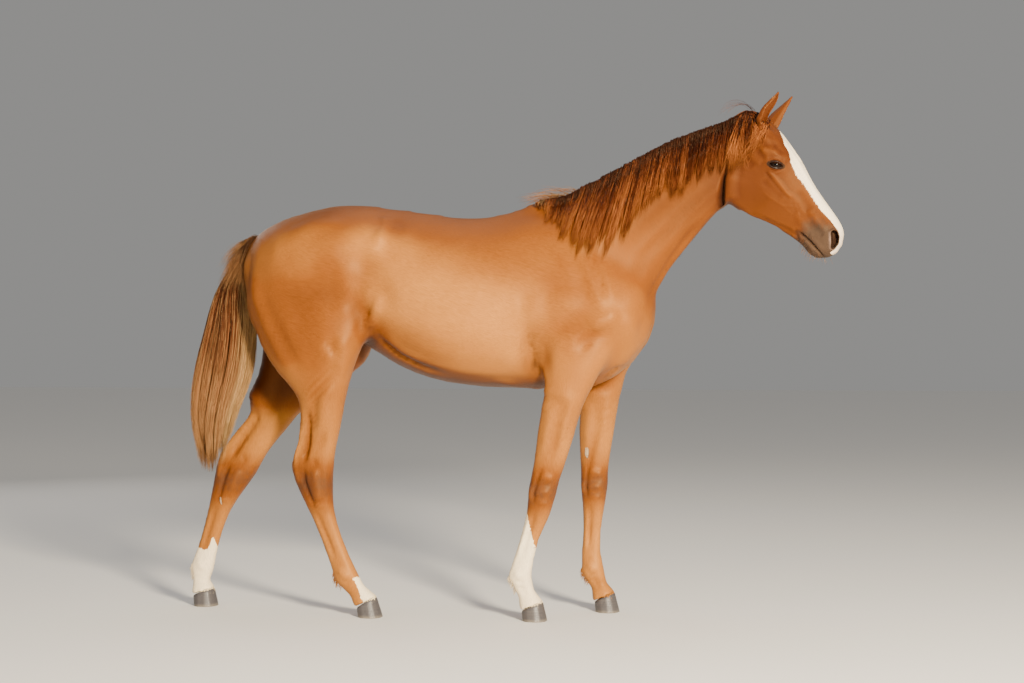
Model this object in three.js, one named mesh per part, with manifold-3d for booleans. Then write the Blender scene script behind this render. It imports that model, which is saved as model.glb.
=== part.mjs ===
// A chestnut yearling horse standing at ease, life size, in millimetres.
// +X runs forward to the head, +Y to the horse's left, +Z up, and the soles stand on Z = 0.
// X = 0 is the middle of the barrel until the last lines centre the finished horse.
import * as THREE from 'three';
import { mergeVertices } from 'three/addons/utils/BufferGeometryUtils.js';
import Module from 'manifold-3d';

const wasm = await Module();
wasm.setup();

// ---- driving dimensions ----
const gap = 0.3; // clearance kept between neighbouring nodes
const farReach = 4000; // edge of the blocks that part the body
const maneThickness = 15;
const forelockThickness = 9;
const eyeRadius = 21;
const headYaw = -12; // degrees, nose turned to the horse's right
const headPitch = 59.7; // degrees, face line below the horizontal
const poll = [1116, -40, 1815];


// ---- shared shaping tools ----

// The keyed rows and one more inside each span longer than the step, on a smooth curve through them.
function inBetween(keys, rows, step) {
  const size = rows[0].length;
  const curve = new THREE.CubicInterpolant(keys, rows.flat(), size, new Float32Array(size));
  const blended = [];
  for (let span = 0; span < keys.length - 1; span++) {
    const parts = keys[span + 1] - keys[span] > step ? 2 : 1;
    for (let part = 0; part < parts; part++) {
      const key = THREE.MathUtils.lerp(keys[span], keys[span + 1], part / parts);
      blended.push(Array.from(curve.evaluate(key)));
    }
  }
  blended.push(rows.at(-1));
  return blended;
}

// Distance walked along a row of centres, used as the key of a bent part.
function walked(centres) {
  const keys = [0];
  for (let i = 1; i < centres.length; i++) {
    keys.push(keys[i - 1] + new THREE.Vector3(...centres[i]).distanceTo(new THREE.Vector3(...centres[i - 1])));
  }
  return keys;
}

// A cross-section, left and right alike, from half widths at fractions of its height.
function crossSection(bottom, top, levels, halfWidths, count) {
  const height = (level) => THREE.MathUtils.lerp(bottom, top, level);
  const left = levels.map((level, i) => new THREE.Vector3(halfWidths[i], height(level), 0));
  const right = left.map((p) => new THREE.Vector3(-p.x, p.y, 0)).reverse();
  const outline = [new THREE.Vector3(0, top, 0), ...left, new THREE.Vector3(0, bottom, 0), ...right];
  return new THREE.CatmullRomCurve3(outline, true, 'centripetal').getSpacedPoints(count).slice(0, count);
}

// A rounded cross-section of a limb, x forward and y to the left, narrower behind when egg is positive.
function limbSection(depth, width, egg, count) {
  const fullness = 0.86; // below 1 squares the ellipse
  const soft = (value) => Math.sign(value) * Math.abs(value) ** fullness;
  return Array.from({ length: count }, (_, i) => {
    const turn = (i / count) * 2 * Math.PI;
    const along = soft(Math.cos(turn));
    return new THREE.Vector3((depth / 2) * along, (width / 2) * soft(Math.sin(turn)) * (1 + egg * along), 0);
  });
}

// A closed skin over a row of rings with equal counts, with a flat cap at each end.
function skinOver(rings) {
  const count = rings[0].length;
  const middle = (ring) => ring.reduce((sum, p) => sum.add(p), new THREE.Vector3()).divideScalar(count);
  const points = [...rings.flat(), middle(rings[0]), middle(rings.at(-1))];
  const [firstCap, lastCap] = [points.length - 2, points.length - 1];
  const lastRing = (rings.length - 1) * count;
  const index = [];
  for (let i = 0; i < count; i++) {
    const next = (i + 1) % count;
    for (let r = 0; r < lastRing; r += count) {
      index.push(r + i, r + next, r + count + i, r + next, r + count + next, r + count + i);
    }
    index.push(firstCap, next, i, lastCap, lastRing + i, lastRing + next);
  }
  const skin = new THREE.BufferGeometry().setFromPoints(points);
  skin.setIndex(index);
  return facingOut(skin);
}

function facingOut(geometry) {
  const at = geometry.getAttribute('position');
  const index = geometry.getIndex();
  const corner = (i) => new THREE.Vector3().fromBufferAttribute(at, index.getX(i));
  let volume = 0;
  for (let i = 0; i < index.count; i += 3) volume += corner(i).dot(corner(i + 1).cross(corner(i + 2)));
  if (volume < 0) index.array.reverse();
  return geometry;
}

// The same shape with its surface moved out along its normals.
function grown(geometry, by) {
  const larger = geometry.clone();
  larger.computeVertexNormals();
  const at = larger.getAttribute('position');
  const normal = larger.getAttribute('normal');
  for (let i = 0; i < at.count; i++) {
    const point = new THREE.Vector3().fromBufferAttribute(at, i);
    point.addScaledVector(new THREE.Vector3().fromBufferAttribute(normal, i), by);
    at.setXYZ(i, ...point);
  }
  larger.deleteAttribute('normal');
  return larger;
}

function solid(geometry) {
  const bare = geometry.clone();
  bare.deleteAttribute('normal');
  bare.deleteAttribute('uv');
  const merged = mergeVertices(bare, 1e-4);
  const vertProperties = Float32Array.from(merged.getAttribute('position').array);
  const triVerts = Uint32Array.from(merged.getIndex().array);
  return new wasm.Manifold(new wasm.Mesh({ numProp: 3, vertProperties, triVerts }));
}

function surface(manifold) {
  const mesh = manifold.getMesh();
  const geometry = new THREE.BufferGeometry();
  geometry.setAttribute('position', new THREE.BufferAttribute(mesh.vertProperties, 3));
  geometry.setIndex(new THREE.BufferAttribute(mesh.triVerts, 1));
  return geometry;
}

// A block filling everything on the side of a plane that its normal points to.
function beyond(point, normal) {
  const block = new THREE.BoxGeometry(farReach, farReach, farReach);
  block.translate(0, 0, farReach / 2);
  const facing = new THREE.Vector3(...normal).normalize();
  block.applyQuaternion(new THREE.Quaternion().setFromUnitVectors(new THREE.Vector3(0, 0, 1), facing));
  return block.translate(...point);
}

function shiftedAlong(point, normal, by) {
  return new THREE.Vector3(...normal).normalize().multiplyScalar(by).add(new THREE.Vector3(...point)).toArray();
}

// A block with a drawn side view, x forward and z up, between two sideways limits.
function sideBlock(outline, from, to) {
  const shape = new THREE.Shape();
  shape.moveTo(...outline[0]);
  shape.splineThru(outline.slice(1).map(([x, z]) => new THREE.Vector2(x, z)));
  shape.closePath();
  const block = new THREE.ExtrudeGeometry(shape, { depth: to - from, bevelEnabled: false, curveSegments: 1 });
  return block.rotateX(Math.PI / 2).translate(0, to, 0);
}

// ---- trunk: upright sections from the buttocks to the breast ----
const trunkLevels = [0.94, 0.78, 0.54, 0.28, 0.07];
const trunkSections = [
  { x: -764, top: 1345, bottom: 1215, widths: [14, 30, 38, 32, 14] },
  { x: -742, top: 1376, bottom: 1150, widths: [30, 72, 92, 84, 40] },
  { x: -690, top: 1418, bottom: 1090, widths: [52, 128, 162, 150, 72] },
  { x: -610, top: 1456, bottom: 1054, widths: [70, 166, 204, 190, 92] },
  { x: -500, top: 1487, bottom: 1034, widths: [86, 192, 222, 204, 100] },
  { x: -400, top: 1504, bottom: 1018, widths: [92, 200, 224, 198, 96] },
  { x: -300, top: 1501, bottom: 972, widths: [88, 190, 216, 190, 90] },
  { x: -190, top: 1484, bottom: 905, widths: [80, 176, 214, 196, 96] },
  { x: -60, top: 1466, bottom: 856, widths: [78, 176, 222, 212, 118] },
  { x: 80, top: 1453, bottom: 833, widths: [76, 178, 226, 216, 130] },
  { x: 210, top: 1472, bottom: 825, widths: [58, 162, 218, 210, 130] },
  { x: 330, top: 1512, bottom: 822, widths: [40, 136, 206, 200, 124] },
  { x: 430, top: 1520, bottom: 818, widths: [34, 124, 196, 194, 118] },
  { x: 520, top: 1490, bottom: 826, widths: [44, 124, 190, 192, 112] },
  { x: 600, top: 1425, bottom: 862, widths: [58, 128, 184, 186, 108] },
  { x: 670, top: 1340, bottom: 918, widths: [60, 124, 164, 162, 92] },
  { x: 722, top: 1255, bottom: 990, widths: [44, 94, 122, 112, 60] },
  { x: 752, top: 1205, bottom: 1080, widths: [20, 44, 58, 50, 22] },
];

// Muscles and hollows that stand off the plain barrel, alike on both sides.
const swells = [
  { at: [600, 190, 1095], reach: 95, lift: 14 }, // point of the shoulder
  { at: [470, 95, 1400], reach: 130, lift: 8 }, // shoulder blade under the withers
  { at: [330, 205, 1010], reach: 90, lift: -10 }, // behind the elbow
  { at: [-225, 205, 1375], reach: 75, lift: 16 }, // point of the hip
  { at: [-290, 215, 1230], reach: 110, lift: -20 }, // flank hollow
  { at: [-560, 215, 1260], reach: 180, lift: 8 }, // haunch
  { at: [0, 225, 1050], reach: 210, lift: 6 }, // spring of the ribs
];

function swollen(geometry) {
  const at = geometry.getAttribute('position');
  for (let i = 0; i < at.count; i++) {
    const point = new THREE.Vector3().fromBufferAttribute(at, i);
    const side = Math.sign(point.y);
    for (const swell of swells) {
      const away = point.distanceTo(new THREE.Vector3(swell.at[0], side * swell.at[1], swell.at[2]));
      point.y += side * swell.lift * Math.exp(-((away / swell.reach) ** 2));
    }
    at.setY(i, point.y);
  }
  return geometry;
}

function trunkSkin() {
  const rows = trunkSections.map((s) => [s.x, s.top, s.bottom, ...s.widths]);
  const rings = inBetween(trunkSections.map((s) => s.x), rows, 110).map(([x, top, bottom, ...widths]) =>
    crossSection(bottom, top, trunkLevels, widths, 22).map((p) => new THREE.Vector3(x, p.x, p.y)));
  return swollen(skinOver(rings));
}

// ---- neck: sections from crest to underside, bending a little to the right ----
const neckLevels = [0.93, 0.74, 0.42, 0.1];
const neckSections = [
  { crest: [395, 1502], under: [690, 1085], aside: 0, widths: [46, 132, 168, 96] },
  { crest: [500, 1556], under: [757, 1178], aside: 0, widths: [36, 98, 130, 80] },
  { crest: [620, 1618], under: [796, 1246], aside: -4, widths: [29, 76, 104, 66] },
  { crest: [735, 1677], under: [852, 1318], aside: -11, widths: [26, 64, 88, 56] },
  { crest: [850, 1727], under: [916, 1394], aside: -20, widths: [25, 58, 76, 50] },
  { crest: [960, 1762], under: [974, 1460], aside: -30, widths: [28, 56, 68, 46] },
  { crest: [1070, 1794], under: [1045, 1510], aside: -40, widths: [36, 56, 62, 44] },
];

function neckSkin() {
  const rows = neckSections.map((s) => [...s.crest, ...s.under, s.aside, ...s.widths]);
  const keys = walked(neckSections.map((s) => [s.crest[0] + s.under[0], s.crest[1] + s.under[1], 0]));
  const rings = inBetween(keys, rows, 60).map(([crestX, crestZ, underX, underZ, aside, ...widths]) => {
    const crest = new THREE.Vector3(crestX, aside, crestZ);
    const under = new THREE.Vector3(underX, aside, underZ);
    return crossSection(0, 1, neckLevels, widths, 18).map((p) =>
      under.clone().lerp(crest, p.y).add(new THREE.Vector3(0, p.x, 0)));
  });
  return skinOver(rings);
}

// ---- head: its own frame at the poll, x down the face, y to its left, z out of the forehead ----
const headLevels = [0.94, 0.79, 0.5, 0.22, 0.05];
const headSections = [
  { x: -22, top: -24, bottom: -100, widths: [30, 42, 46, 40, 20] },
  { x: 20, top: 4, bottom: -165, widths: [42, 58, 58, 50, 26] },
  { x: 70, top: 27, bottom: -212, widths: [52, 74, 70, 60, 34] },
  { x: 125, top: 40, bottom: -236, widths: [58, 92, 78, 64, 37] },
  { x: 175, top: 46, bottom: -251, widths: [60, 98, 80, 64, 37] },
  { x: 222, top: 49, bottom: -253, widths: [54, 86, 78, 60, 36] },
  { x: 265, top: 48, bottom: -238, widths: [46, 68, 74, 54, 31] },
  { x: 315, top: 45, bottom: -210, widths: [40, 55, 66, 45, 26] },
  { x: 365, top: 46, bottom: -174, widths: [35, 47, 52, 38, 23] },
  { x: 415, top: 50, bottom: -140, widths: [31, 41, 43, 34, 22] },
  { x: 460, top: 54, bottom: -114, widths: [28, 41, 43, 36, 24] },
  { x: 505, top: 55, bottom: -98, widths: [29, 47, 50, 41, 27] },
  { x: 538, top: 46, bottom: -93, widths: [28, 47, 50, 41, 26] },
  { x: 562, top: 25, bottom: -78, widths: [23, 38, 43, 34, 19] },
  { x: 580, top: -6, bottom: -44, widths: [9, 17, 20, 15, 7] },
];
const eyeAt = [214, 77, -26];
const earAt = [84, 53, -9];
const earTip = [0, 80, 111];

const headFrame = new THREE.Group();
headFrame.position.set(...poll);
headFrame.rotation.set(0, THREE.MathUtils.degToRad(headPitch), THREE.MathUtils.degToRad(headYaw), 'ZYX');
headFrame.updateMatrixWorld(true);

function headSkin() {
  const rows = headSections.map((s) => [s.x, s.top, s.bottom, ...s.widths]);
  const rings = inBetween(headSections.map((s) => s.x), rows, 30).map(([x, top, bottom, ...widths]) =>
    crossSection(bottom, top, headLevels, widths, 22).map((p) => new THREE.Vector3(x, p.x, p.y)));
  return skinOver(rings);
}

// A pricked ear: a leaf-shaped cone hollowed from the front, its tip curling a little inwards.
const earSections = [
  { along: -0.12, width: 56, depth: 54 },
  { along: 0.12, width: 58, depth: 50 },
  { along: 0.38, width: 53, depth: 38 },
  { along: 0.64, width: 40, depth: 26 },
  { along: 0.82, width: 25, depth: 18 },
  { along: 0.94, width: 12, depth: 10 },
  { along: 1, width: 6, depth: 6 },
];
const earWall = 4;

// One leaf shape along the ear's axis, drawn in by inset and reaching forward past its opening.
function earLeaf(inset, reach) {
  const base = new THREE.Vector3(...earAt);
  const axis = new THREE.Vector3(...earTip).sub(base);
  const opening = new THREE.Vector3(0.62, 0.45, 0.65).projectOnPlane(axis.clone().normalize()).normalize();
  const across = axis.clone().normalize().cross(opening);
  const rows = earSections.map((s) => [s.along, s.width - 2 * inset, s.depth + reach]);
  const rings = inBetween(earSections.map((s) => s.along), rows, 0.25).map(([along, width, depth]) => {
    const centre = base.clone().addScaledVector(axis, along + inset / axis.length())
      .addScaledVector(across, 7 * Math.sin(Math.PI * along)).addScaledVector(opening, reach / 2 + inset);
    return limbSection(depth, width, 0, 10).map((p) =>
      centre.clone().addScaledVector(opening, p.x).addScaledVector(across, p.y));
  });
  return skinOver(rings);
}

function earCup() {
  return surface(solid(earLeaf(0, 0)).subtract(solid(earLeaf(earWall, 26))));
}

function mirrored(geometry) {
  const other = geometry.clone().scale(1, -1, 1);
  other.getIndex().array.reverse();
  return other;
}

// ---- legs: shared sizes at each level, and where each leg holds them ----
const foreSizes = [
  { level: 'shoulder', depth: 300, width: 110, egg: 0 },
  { level: 'arm', depth: 258, width: 132, egg: 0 },
  { level: 'elbow', depth: 190, width: 128, egg: 0.05 },
  { level: 'forearm', depth: 150, width: 116, egg: 0.1 },
  { level: 'midForearm', depth: 132, width: 98, egg: 0.1 },
  { level: 'lowForearm', depth: 112, width: 84, egg: 0.05 },
  { level: 'aboveKnee', depth: 104, width: 84, egg: 0 },
  { level: 'knee', depth: 101, width: 88, egg: 0.05 },
  { level: 'belowKnee', depth: 84, width: 72, egg: 0.15 },
  { level: 'cannon', depth: 65, width: 46, egg: 0.15 },
  { level: 'lowCannon', depth: 69, width: 50, egg: 0.1 },
  { level: 'fetlock', depth: 84, width: 68, egg: 0.1 },
  { level: 'pastern', depth: 60, width: 56, egg: 0.05 },
  { level: 'coronet', depth: 88, width: 88, egg: 0.05 },
];
const hindSizes = [
  { level: 'croup', depth: 260, width: 120, egg: 0 },
  { level: 'hip', depth: 370, width: 176, egg: 0, lean: -6 },
  { level: 'thigh', depth: 474, width: 200, egg: 0, lean: -12 },
  { level: 'stifle', depth: 410, width: 196, egg: 0.1, lean: -4 },
  { level: 'lowThigh', depth: 298, width: 160, egg: 0.12 },
  { level: 'gaskin', depth: 188, width: 122, egg: 0.15 },
  { level: 'midGaskin', depth: 154, width: 100, egg: 0.2 },
  { level: 'lowGaskin', depth: 144, width: 80, egg: 0.3 },
  { level: 'hock', depth: 160, width: 86, egg: 0.28 },
  { level: 'lowHock', depth: 122, width: 84, egg: 0.18 },
  { level: 'highCannon', depth: 86, width: 64, egg: 0.15 },
  { level: 'cannon', depth: 73, width: 48, egg: 0.15 },
  { level: 'lowCannon', depth: 76, width: 52, egg: 0.1 },
  { level: 'fetlock', depth: 86, width: 68, egg: 0.1 },
  { level: 'pastern', depth: 62, width: 56, egg: 0.05 },
  { level: 'coronet', depth: 88, width: 84, egg: 0.05 },
];
const legs = [
  {
    name: 'fore_leg_right', sizes: foreSizes, cut: [[450, 0, 858], [0.1, 0, -1]],
    centres: [
      [535, -122, 1150], [500, -138, 1010], [462, -148, 885], [434, -150, 785], [405, -149, 660],
      [383, -147, 560], [371, -146, 515], [358, -145, 458], [345, -143, 390], [314, -140, 300],
      [292, -138, 222], [276, -136, 158], [299, -134, 98], [318, -133, 53],
    ],
    coronetTilt: 20, toe: 376,
  },
  {
    name: 'fore_leg_left', sizes: foreSizes, cut: [[540, 0, 868], [-0.1, 0, -1]],
    centres: [
      [560, 122, 1150], [553, 138, 1010], [543, 148, 890], [536, 150, 795], [524, 150, 665],
      [518, 149, 565], [517, 148, 522], [516, 147, 462], [514, 145, 395], [508, 142, 300],
      [505, 140, 220], [511, 138, 150], [535, 137, 96], [552, 136, 56],
    ],
    coronetTilt: 22, toe: 612,
  },
  {
    name: 'hind_leg_right', sizes: hindSizes, cut: [[-490, 0, 1046], [0.05, 0, -1]],
    centres: [
      [-520, -84, 1410], [-512, -102, 1310], [-500, -112, 1150], [-480, -126, 1010], [-465, -136, 905],
      [-447, -140, 805], [-452, -138, 702], [-466, -134, 622], [-484, -130, 542], [-468, -128, 456],
      [-446, -127, 374], [-413, -126, 280], [-384, -125, 205], [-362, -124, 148], [-322, -123, 96],
      [-289, -122, 55],
    ],
    coronetTilt: 25, toe: -226,
  },
  {
    name: 'hind_leg_left', sizes: hindSizes, cut: [[-520, 0, 1046], [0.05, 0, -1]],
    centres: [
      [-520, 84, 1410], [-515, 102, 1310], [-508, 112, 1150], [-520, 124, 1015], [-568, 130, 910],
      [-640, 130, 812], [-712, 126, 706], [-778, 120, 616], [-832, 114, 535], [-866, 110, 455],
      [-898, 106, 374], [-926, 102, 285], [-948, 99, 205], [-965, 97, 145], [-968, 95, 95],
      [-961, 94, 55],
    ],
    coronetTilt: 16, toe: -904,
  },
];

function legSkin(leg) {
  const rows = leg.sizes.map((size, i) => {
    const [x, , z] = leg.centres[Math.max(i - 1, 0)];
    const [nextX, , nextZ] = leg.centres[Math.min(i + 1, leg.centres.length - 1)];
    const slope = THREE.MathUtils.radToDeg(Math.atan2(nextX - x, z - nextZ)) + (size.lean ?? 0);
    const lean = size.level === 'coronet' ? leg.coronetTilt : slope;
    return [...leg.centres[i], size.depth, size.width, size.egg, lean];
  });
  const rings = inBetween(walked(leg.centres), rows, 82).map(([x, y, z, depth, width, egg, lean]) => {
    const tip = THREE.MathUtils.degToRad(lean);
    return limbSection(depth, width, egg, 14).map((p) =>
      new THREE.Vector3(x + p.x * Math.cos(tip), y + p.y, z + p.x * Math.sin(tip)));
  });
  return skinOver(rings);
}

// ---- hooves: a flat sole at the ground, a sloping toe, and a top that fits the coronet ----
const soleSpread = { length: 1.2, width: 1.25 }; // sole against coronet
const hoofRings = [0, 0.45, 0.85, 1]; // from the sole up to the coronet

function hoofShell(leg) {
  const [centreX, centreY, centreZ] = leg.centres.at(-1);
  const { depth, width } = leg.sizes.at(-1);
  const tilt = THREE.MathUtils.degToRad(leg.coronetTilt);
  const sole = { length: depth * soleSpread.length, width: width * soleSpread.width };
  const { lerp } = THREE.MathUtils;
  return skinOver(hoofRings.map((up) => {
    const x = lerp(leg.toe - sole.length / 2, centreX, up);
    const z = lerp(0, centreZ - gap, up);
    const outline = limbSection(lerp(sole.length, depth, up), lerp(sole.width, width, up), 0.1, 14);
    return outline.map((p) => new THREE.Vector3(
      x + p.x * lerp(1, Math.cos(tilt), up), centreY + p.y, z + p.x * lerp(0, Math.sin(tilt), up)));
  }));
}

// ---- tail: the dock under its hair, hanging and swung a little back ----
const tailSections = [
  { x: -735, z: 1368, depth: 34, width: 46 },
  { x: -775, z: 1338, depth: 44, width: 56 },
  { x: -812, z: 1262, depth: 66, width: 68 },
  { x: -836, z: 1180, depth: 104, width: 82 },
  { x: -842, z: 1070, depth: 160, width: 98 },
  { x: -850, z: 950, depth: 208, width: 106 },
  { x: -868, z: 840, depth: 212, width: 100 },
  { x: -887, z: 735, depth: 182, width: 88 },
  { x: -892, z: 628, depth: 136, width: 66 },
  { x: -894, z: 540, depth: 76, width: 40 },
  { x: -890, z: 488, depth: 16, width: 10 },
];

function tailSkin() {
  const rows = tailSections.map((s) => [s.x, s.z, s.depth, s.width]);
  const keys = walked(tailSections.map((s) => [s.x, s.z, 0]));
  const rings = inBetween(keys, rows, 90).map(([x, z, depth, width]) =>
    limbSection(depth, width, 0, 10).map((p) => new THREE.Vector3(x + p.x, p.y, z + p.x * 0.25)));
  return skinOver(rings);
}

// ---- mane and forelock: slabs of hair lying on the right of the crest and over the forehead ----
const maneOutline = [
  [350, 1560], [348, 1508], [405, 1420], [470, 1345], [548, 1318], [606, 1328], [684, 1428], [772, 1526],
  [842, 1526], [918, 1586], [1001, 1600], [1046, 1628], [1074, 1720], [1068, 1870], [900, 1830], [650, 1700],
];
const maneSpread = [-240, 14];
const forelockOutline = [
  [1140, 1850], [1186, 1820], [1180, 1712], [1110, 1652], [1096, 1664], [1146, 1760],
];
const forelockSpread = [-150, -6];

// ---- parting: nodes cut from one whole body along thin planes, each a point and a normal ----
const headCut = [[1006, 0, 1470], [350, 0, -74]];
const neckCut = [[430, 0, 1520], [350, 0, 345]];

const ahead = ([point, normal], clear = 0) => solid(beyond(shiftedAlong(point, normal, -clear), normal));
const behind = ([point, normal], clear) =>
  solid(beyond(shiftedAlong(point, normal, -clear), normal.map((n) => -n)));

function wholeBody(by) {
  const headInPlace = headSkin().applyMatrix4(headFrame.matrixWorld);
  const pieces = [trunkSkin(), neckSkin(), headInPlace, ...legs.map(legSkin)];
  return pieces.map((piece) => solid(by ? grown(piece, by) : piece)).reduce((all, piece) => all.add(piece));
}

const body = wholeBody(0);
const spacedBody = wholeBody(gap);
const eyeball = (clear) => new THREE.SphereGeometry(eyeRadius + clear, 10, 8);
const sockets = [-1, 1].map((side) =>
  solid(eyeball(gap).translate(eyeAt[0], side * eyeAt[1], eyeAt[2]).applyMatrix4(headFrame.matrixWorld)));

const head = sockets.reduce((rest, socket) => rest.subtract(socket), body.intersect(ahead(headCut)));
const neck = body.intersect(behind(headCut, gap)).intersect(ahead(neckCut));
const lowerLegs = legs.map((leg) => solid(legSkin(leg)).intersect(ahead(leg.cut)));
const legRoom = legs.map((leg) => solid(grown(legSkin(leg), gap)).intersect(ahead(leg.cut, gap)));
const trunk = legRoom.reduce((rest, room) => rest.subtract(room), body.intersect(behind(neckCut, gap)));

const ears = [-1, 1].map((side) => {
  const placed = (shape) => solid((side > 0 ? shape : mirrored(shape)).applyMatrix4(headFrame.matrixWorld));
  return { side, cup: placed(earCup()).subtract(spacedBody), room: placed(grown(earLeaf(0, 0), 2 * gap)) };
});
const hairSlab = (thickness, outline, spread) => {
  const slab = wholeBody(thickness).intersect(solid(sideBlock(outline, ...spread))).subtract(spacedBody);
  return ears.reduce((rest, ear) => rest.subtract(ear.room), slab);
};
const mane = hairSlab(maneThickness, maneOutline, maneSpread);
const forelock = hairSlab(forelockThickness, forelockOutline, forelockSpread);
const tail = solid(tailSkin()).subtract(spacedBody);

// ---- the scene graph ----
const finish = {
  coat: { color: '#b5682f', roughness: 0.5 },
  mane: { color: '#6b3219', roughness: 0.6 },
  tail: { color: '#9a6038', roughness: 0.6 },
  horn: { color: '#6d6a6c', roughness: 0.55 },
  eye: { color: '#1c120d', roughness: 0.08 },
};

function node(name, geometry, look) {
  const mesh = new THREE.Mesh(geometry, new THREE.MeshStandardMaterial({ ...finish[look], metalness: 0 }));
  mesh.name = name;
  return mesh;
}

// The main body of a cut piece, without the crumbs that a cut can leave.
function mainBody(manifold) {
  const [largest] = manifold.decompose().sort((a, b) => b.volume() - a.volume());
  return surface(largest);
}

const group = new THREE.Group();
const horse = new THREE.Group();
group.add(horse);
horse.add(headFrame);

const toHead = headFrame.matrixWorld.clone().invert();
headFrame.add(node('head', mainBody(head).applyMatrix4(toHead), 'coat'));
for (const { side, cup } of ears) {
  const hand = side > 0 ? 'left' : 'right';
  headFrame.add(node(`ear_${hand}`, mainBody(cup).applyMatrix4(toHead), 'coat'));
  const eye = node(`eye_${hand}`, eyeball(0), 'eye');
  eye.position.set(eyeAt[0], side * eyeAt[1], eyeAt[2]);
  headFrame.add(eye);
}
horse.add(node('neck', mainBody(neck), 'coat'), node('trunk', mainBody(trunk), 'coat'));
legs.forEach((leg, i) => {
  horse.add(node(leg.name, mainBody(lowerLegs[i]), 'coat'));
  horse.add(node(leg.name.replace('leg', 'hoof'), hoofShell(leg), 'horn'));
});
horse.add(node('tail', mainBody(tail), 'tail'));
horse.add(node('mane', mainBody(mane), 'mane'), node('forelock', mainBody(forelock), 'mane'));

horse.updateMatrixWorld(true);
const middle = new THREE.Box3().setFromObject(horse, true).getCenter(new THREE.Vector3());
horse.position.set(-middle.x, -middle.y, 0);
group.updateMatrixWorld(true);

export default group;
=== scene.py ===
# A chestnut yearling horse, life size: one skin over the whole body, and coat, mane and tail of hair.
import math
import bmesh
import bpy
import numpy as np
from mathutils import Matrix, Vector
from mathutils.bvhtree import BVHTree


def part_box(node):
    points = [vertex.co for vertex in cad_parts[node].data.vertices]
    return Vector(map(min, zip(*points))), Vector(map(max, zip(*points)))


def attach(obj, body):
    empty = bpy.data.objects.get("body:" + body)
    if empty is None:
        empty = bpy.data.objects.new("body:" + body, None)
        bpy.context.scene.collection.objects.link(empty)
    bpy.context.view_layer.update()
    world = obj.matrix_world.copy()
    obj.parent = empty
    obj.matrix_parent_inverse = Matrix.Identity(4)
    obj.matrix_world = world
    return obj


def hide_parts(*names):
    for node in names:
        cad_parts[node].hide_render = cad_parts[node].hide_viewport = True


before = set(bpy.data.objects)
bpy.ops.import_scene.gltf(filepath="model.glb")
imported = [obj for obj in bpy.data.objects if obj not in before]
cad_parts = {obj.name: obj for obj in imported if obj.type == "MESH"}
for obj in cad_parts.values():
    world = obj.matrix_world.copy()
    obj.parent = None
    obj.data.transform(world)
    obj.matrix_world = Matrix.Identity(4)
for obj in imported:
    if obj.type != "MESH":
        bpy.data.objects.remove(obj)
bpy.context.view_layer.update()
dice = np.random.default_rng(11)


def ramp(value, low, high):
    part = np.clip((value - low) / (high - low), 0, 1)
    return part * part * (3 - 2 * part)


def fall(value, low, high):
    return 1 - ramp(value, low, high)


def hump(value, middle, width):
    return np.exp(-((value - middle) / width) ** 2)


def through(at, keys):
    # the value at each place, read between the pairs of place and value in keys
    return np.interp(at, *zip(*keys))


def nearestOn(line, places):
    # how far each place is from the nearest point of a line, and which point that is
    apart = np.linalg.norm(places[:, None] - line[None], axis=2)
    nearest = apart.argmin(1)
    return apart[np.arange(len(places)), nearest], nearest


def unit(vectors):
    return vectors / np.maximum(np.linalg.norm(vectors, axis=-1, keepdims=True), 1e-9)


def readFrom(items, name, width=1, kind=float):
    values = np.empty(len(items) * width, dtype=kind)
    items.foreach_get(name, values)
    return values.reshape(-1, width) if width > 1 else values


def placesOf(mesh):
    return readFrom(mesh.vertices, "co", 3)


def moveTo(mesh, places):
    mesh.vertices.foreach_set("co", np.asarray(places, dtype=np.float32).ravel())
    mesh.update()


def normalsOf(mesh):
    return readFrom(mesh.vertex_normals, "vector", 3)


def edgesOf(mesh):
    return readFrom(mesh.edges, "vertices", 2, np.int64)


def meshOf(name, bm):
    mesh = bpy.data.meshes.new(name)
    bm.to_mesh(mesh)
    bm.free()
    return mesh


def newObject(name, mesh):
    thing = bpy.data.objects.new(name, mesh)
    bpy.context.scene.collection.objects.link(thing)
    return thing


def modifiersApplied(thing):
    mesh = bpy.data.meshes.new_from_object(thing.evaluated_get(bpy.context.evaluated_depsgraph_get()))
    thing.modifiers.clear()
    thing.data = mesh
    return thing


def setAttribute(mesh, name, values, domain="POINT"):
    layer = mesh.attributes.get(name) or mesh.attributes.new(name, "FLOAT", domain)
    layer.data.foreach_set("value", np.asarray(values, dtype=np.float32))


headDetails = {
    "poll": (0.9102, -0.04, 1.815),
    "yaw": -12.0,
    "pitch": 59.75,
    "eye": (0.214, 0.077, -0.026),
    "eyeRadius": 0.0205,
}


def headAxes():
    yaw, pitch = math.radians(headDetails["yaw"]), math.radians(headDetails["pitch"])
    forward = np.array([math.cos(yaw), math.sin(yaw), 0])
    left = np.array([-math.sin(yaw), math.cos(yaw), 0])
    down = np.array([0, 0, -1.0])
    face = math.cos(pitch) * forward + math.sin(pitch) * down
    return np.array([face, left, math.sin(pitch) * forward - math.cos(pitch) * down])


headFrame = headAxes()
pollPlace = np.array(headDetails["poll"])


def fromHead(places):
    return np.asarray(places) @ headFrame + pollPlace


def toHead(places):
    return (np.asarray(places) - pollPlace) @ headFrame.T


skinDetails = {
    "flesh": ["trunk", "neck", "head", "ear_right", "ear_left", "fore_leg_right", "fore_leg_left",
              "hind_leg_right", "hind_leg_left"],
    "overlap": 0.0006,
    "voxel": 0.0166,
    "dock": [(-0.89, 1.335, 0.034), (-0.955, 1.345, 0.03), (-1.0, 1.285, 0.024), (-1.026, 1.18, 0.018),
             (-1.03, 1.09, 0.011)],
    "rounds": 40,
    "bodyRounds": 70,
    "bodyDepth": 0.0022,
    "fineDepth": 0.001,
}

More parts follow.
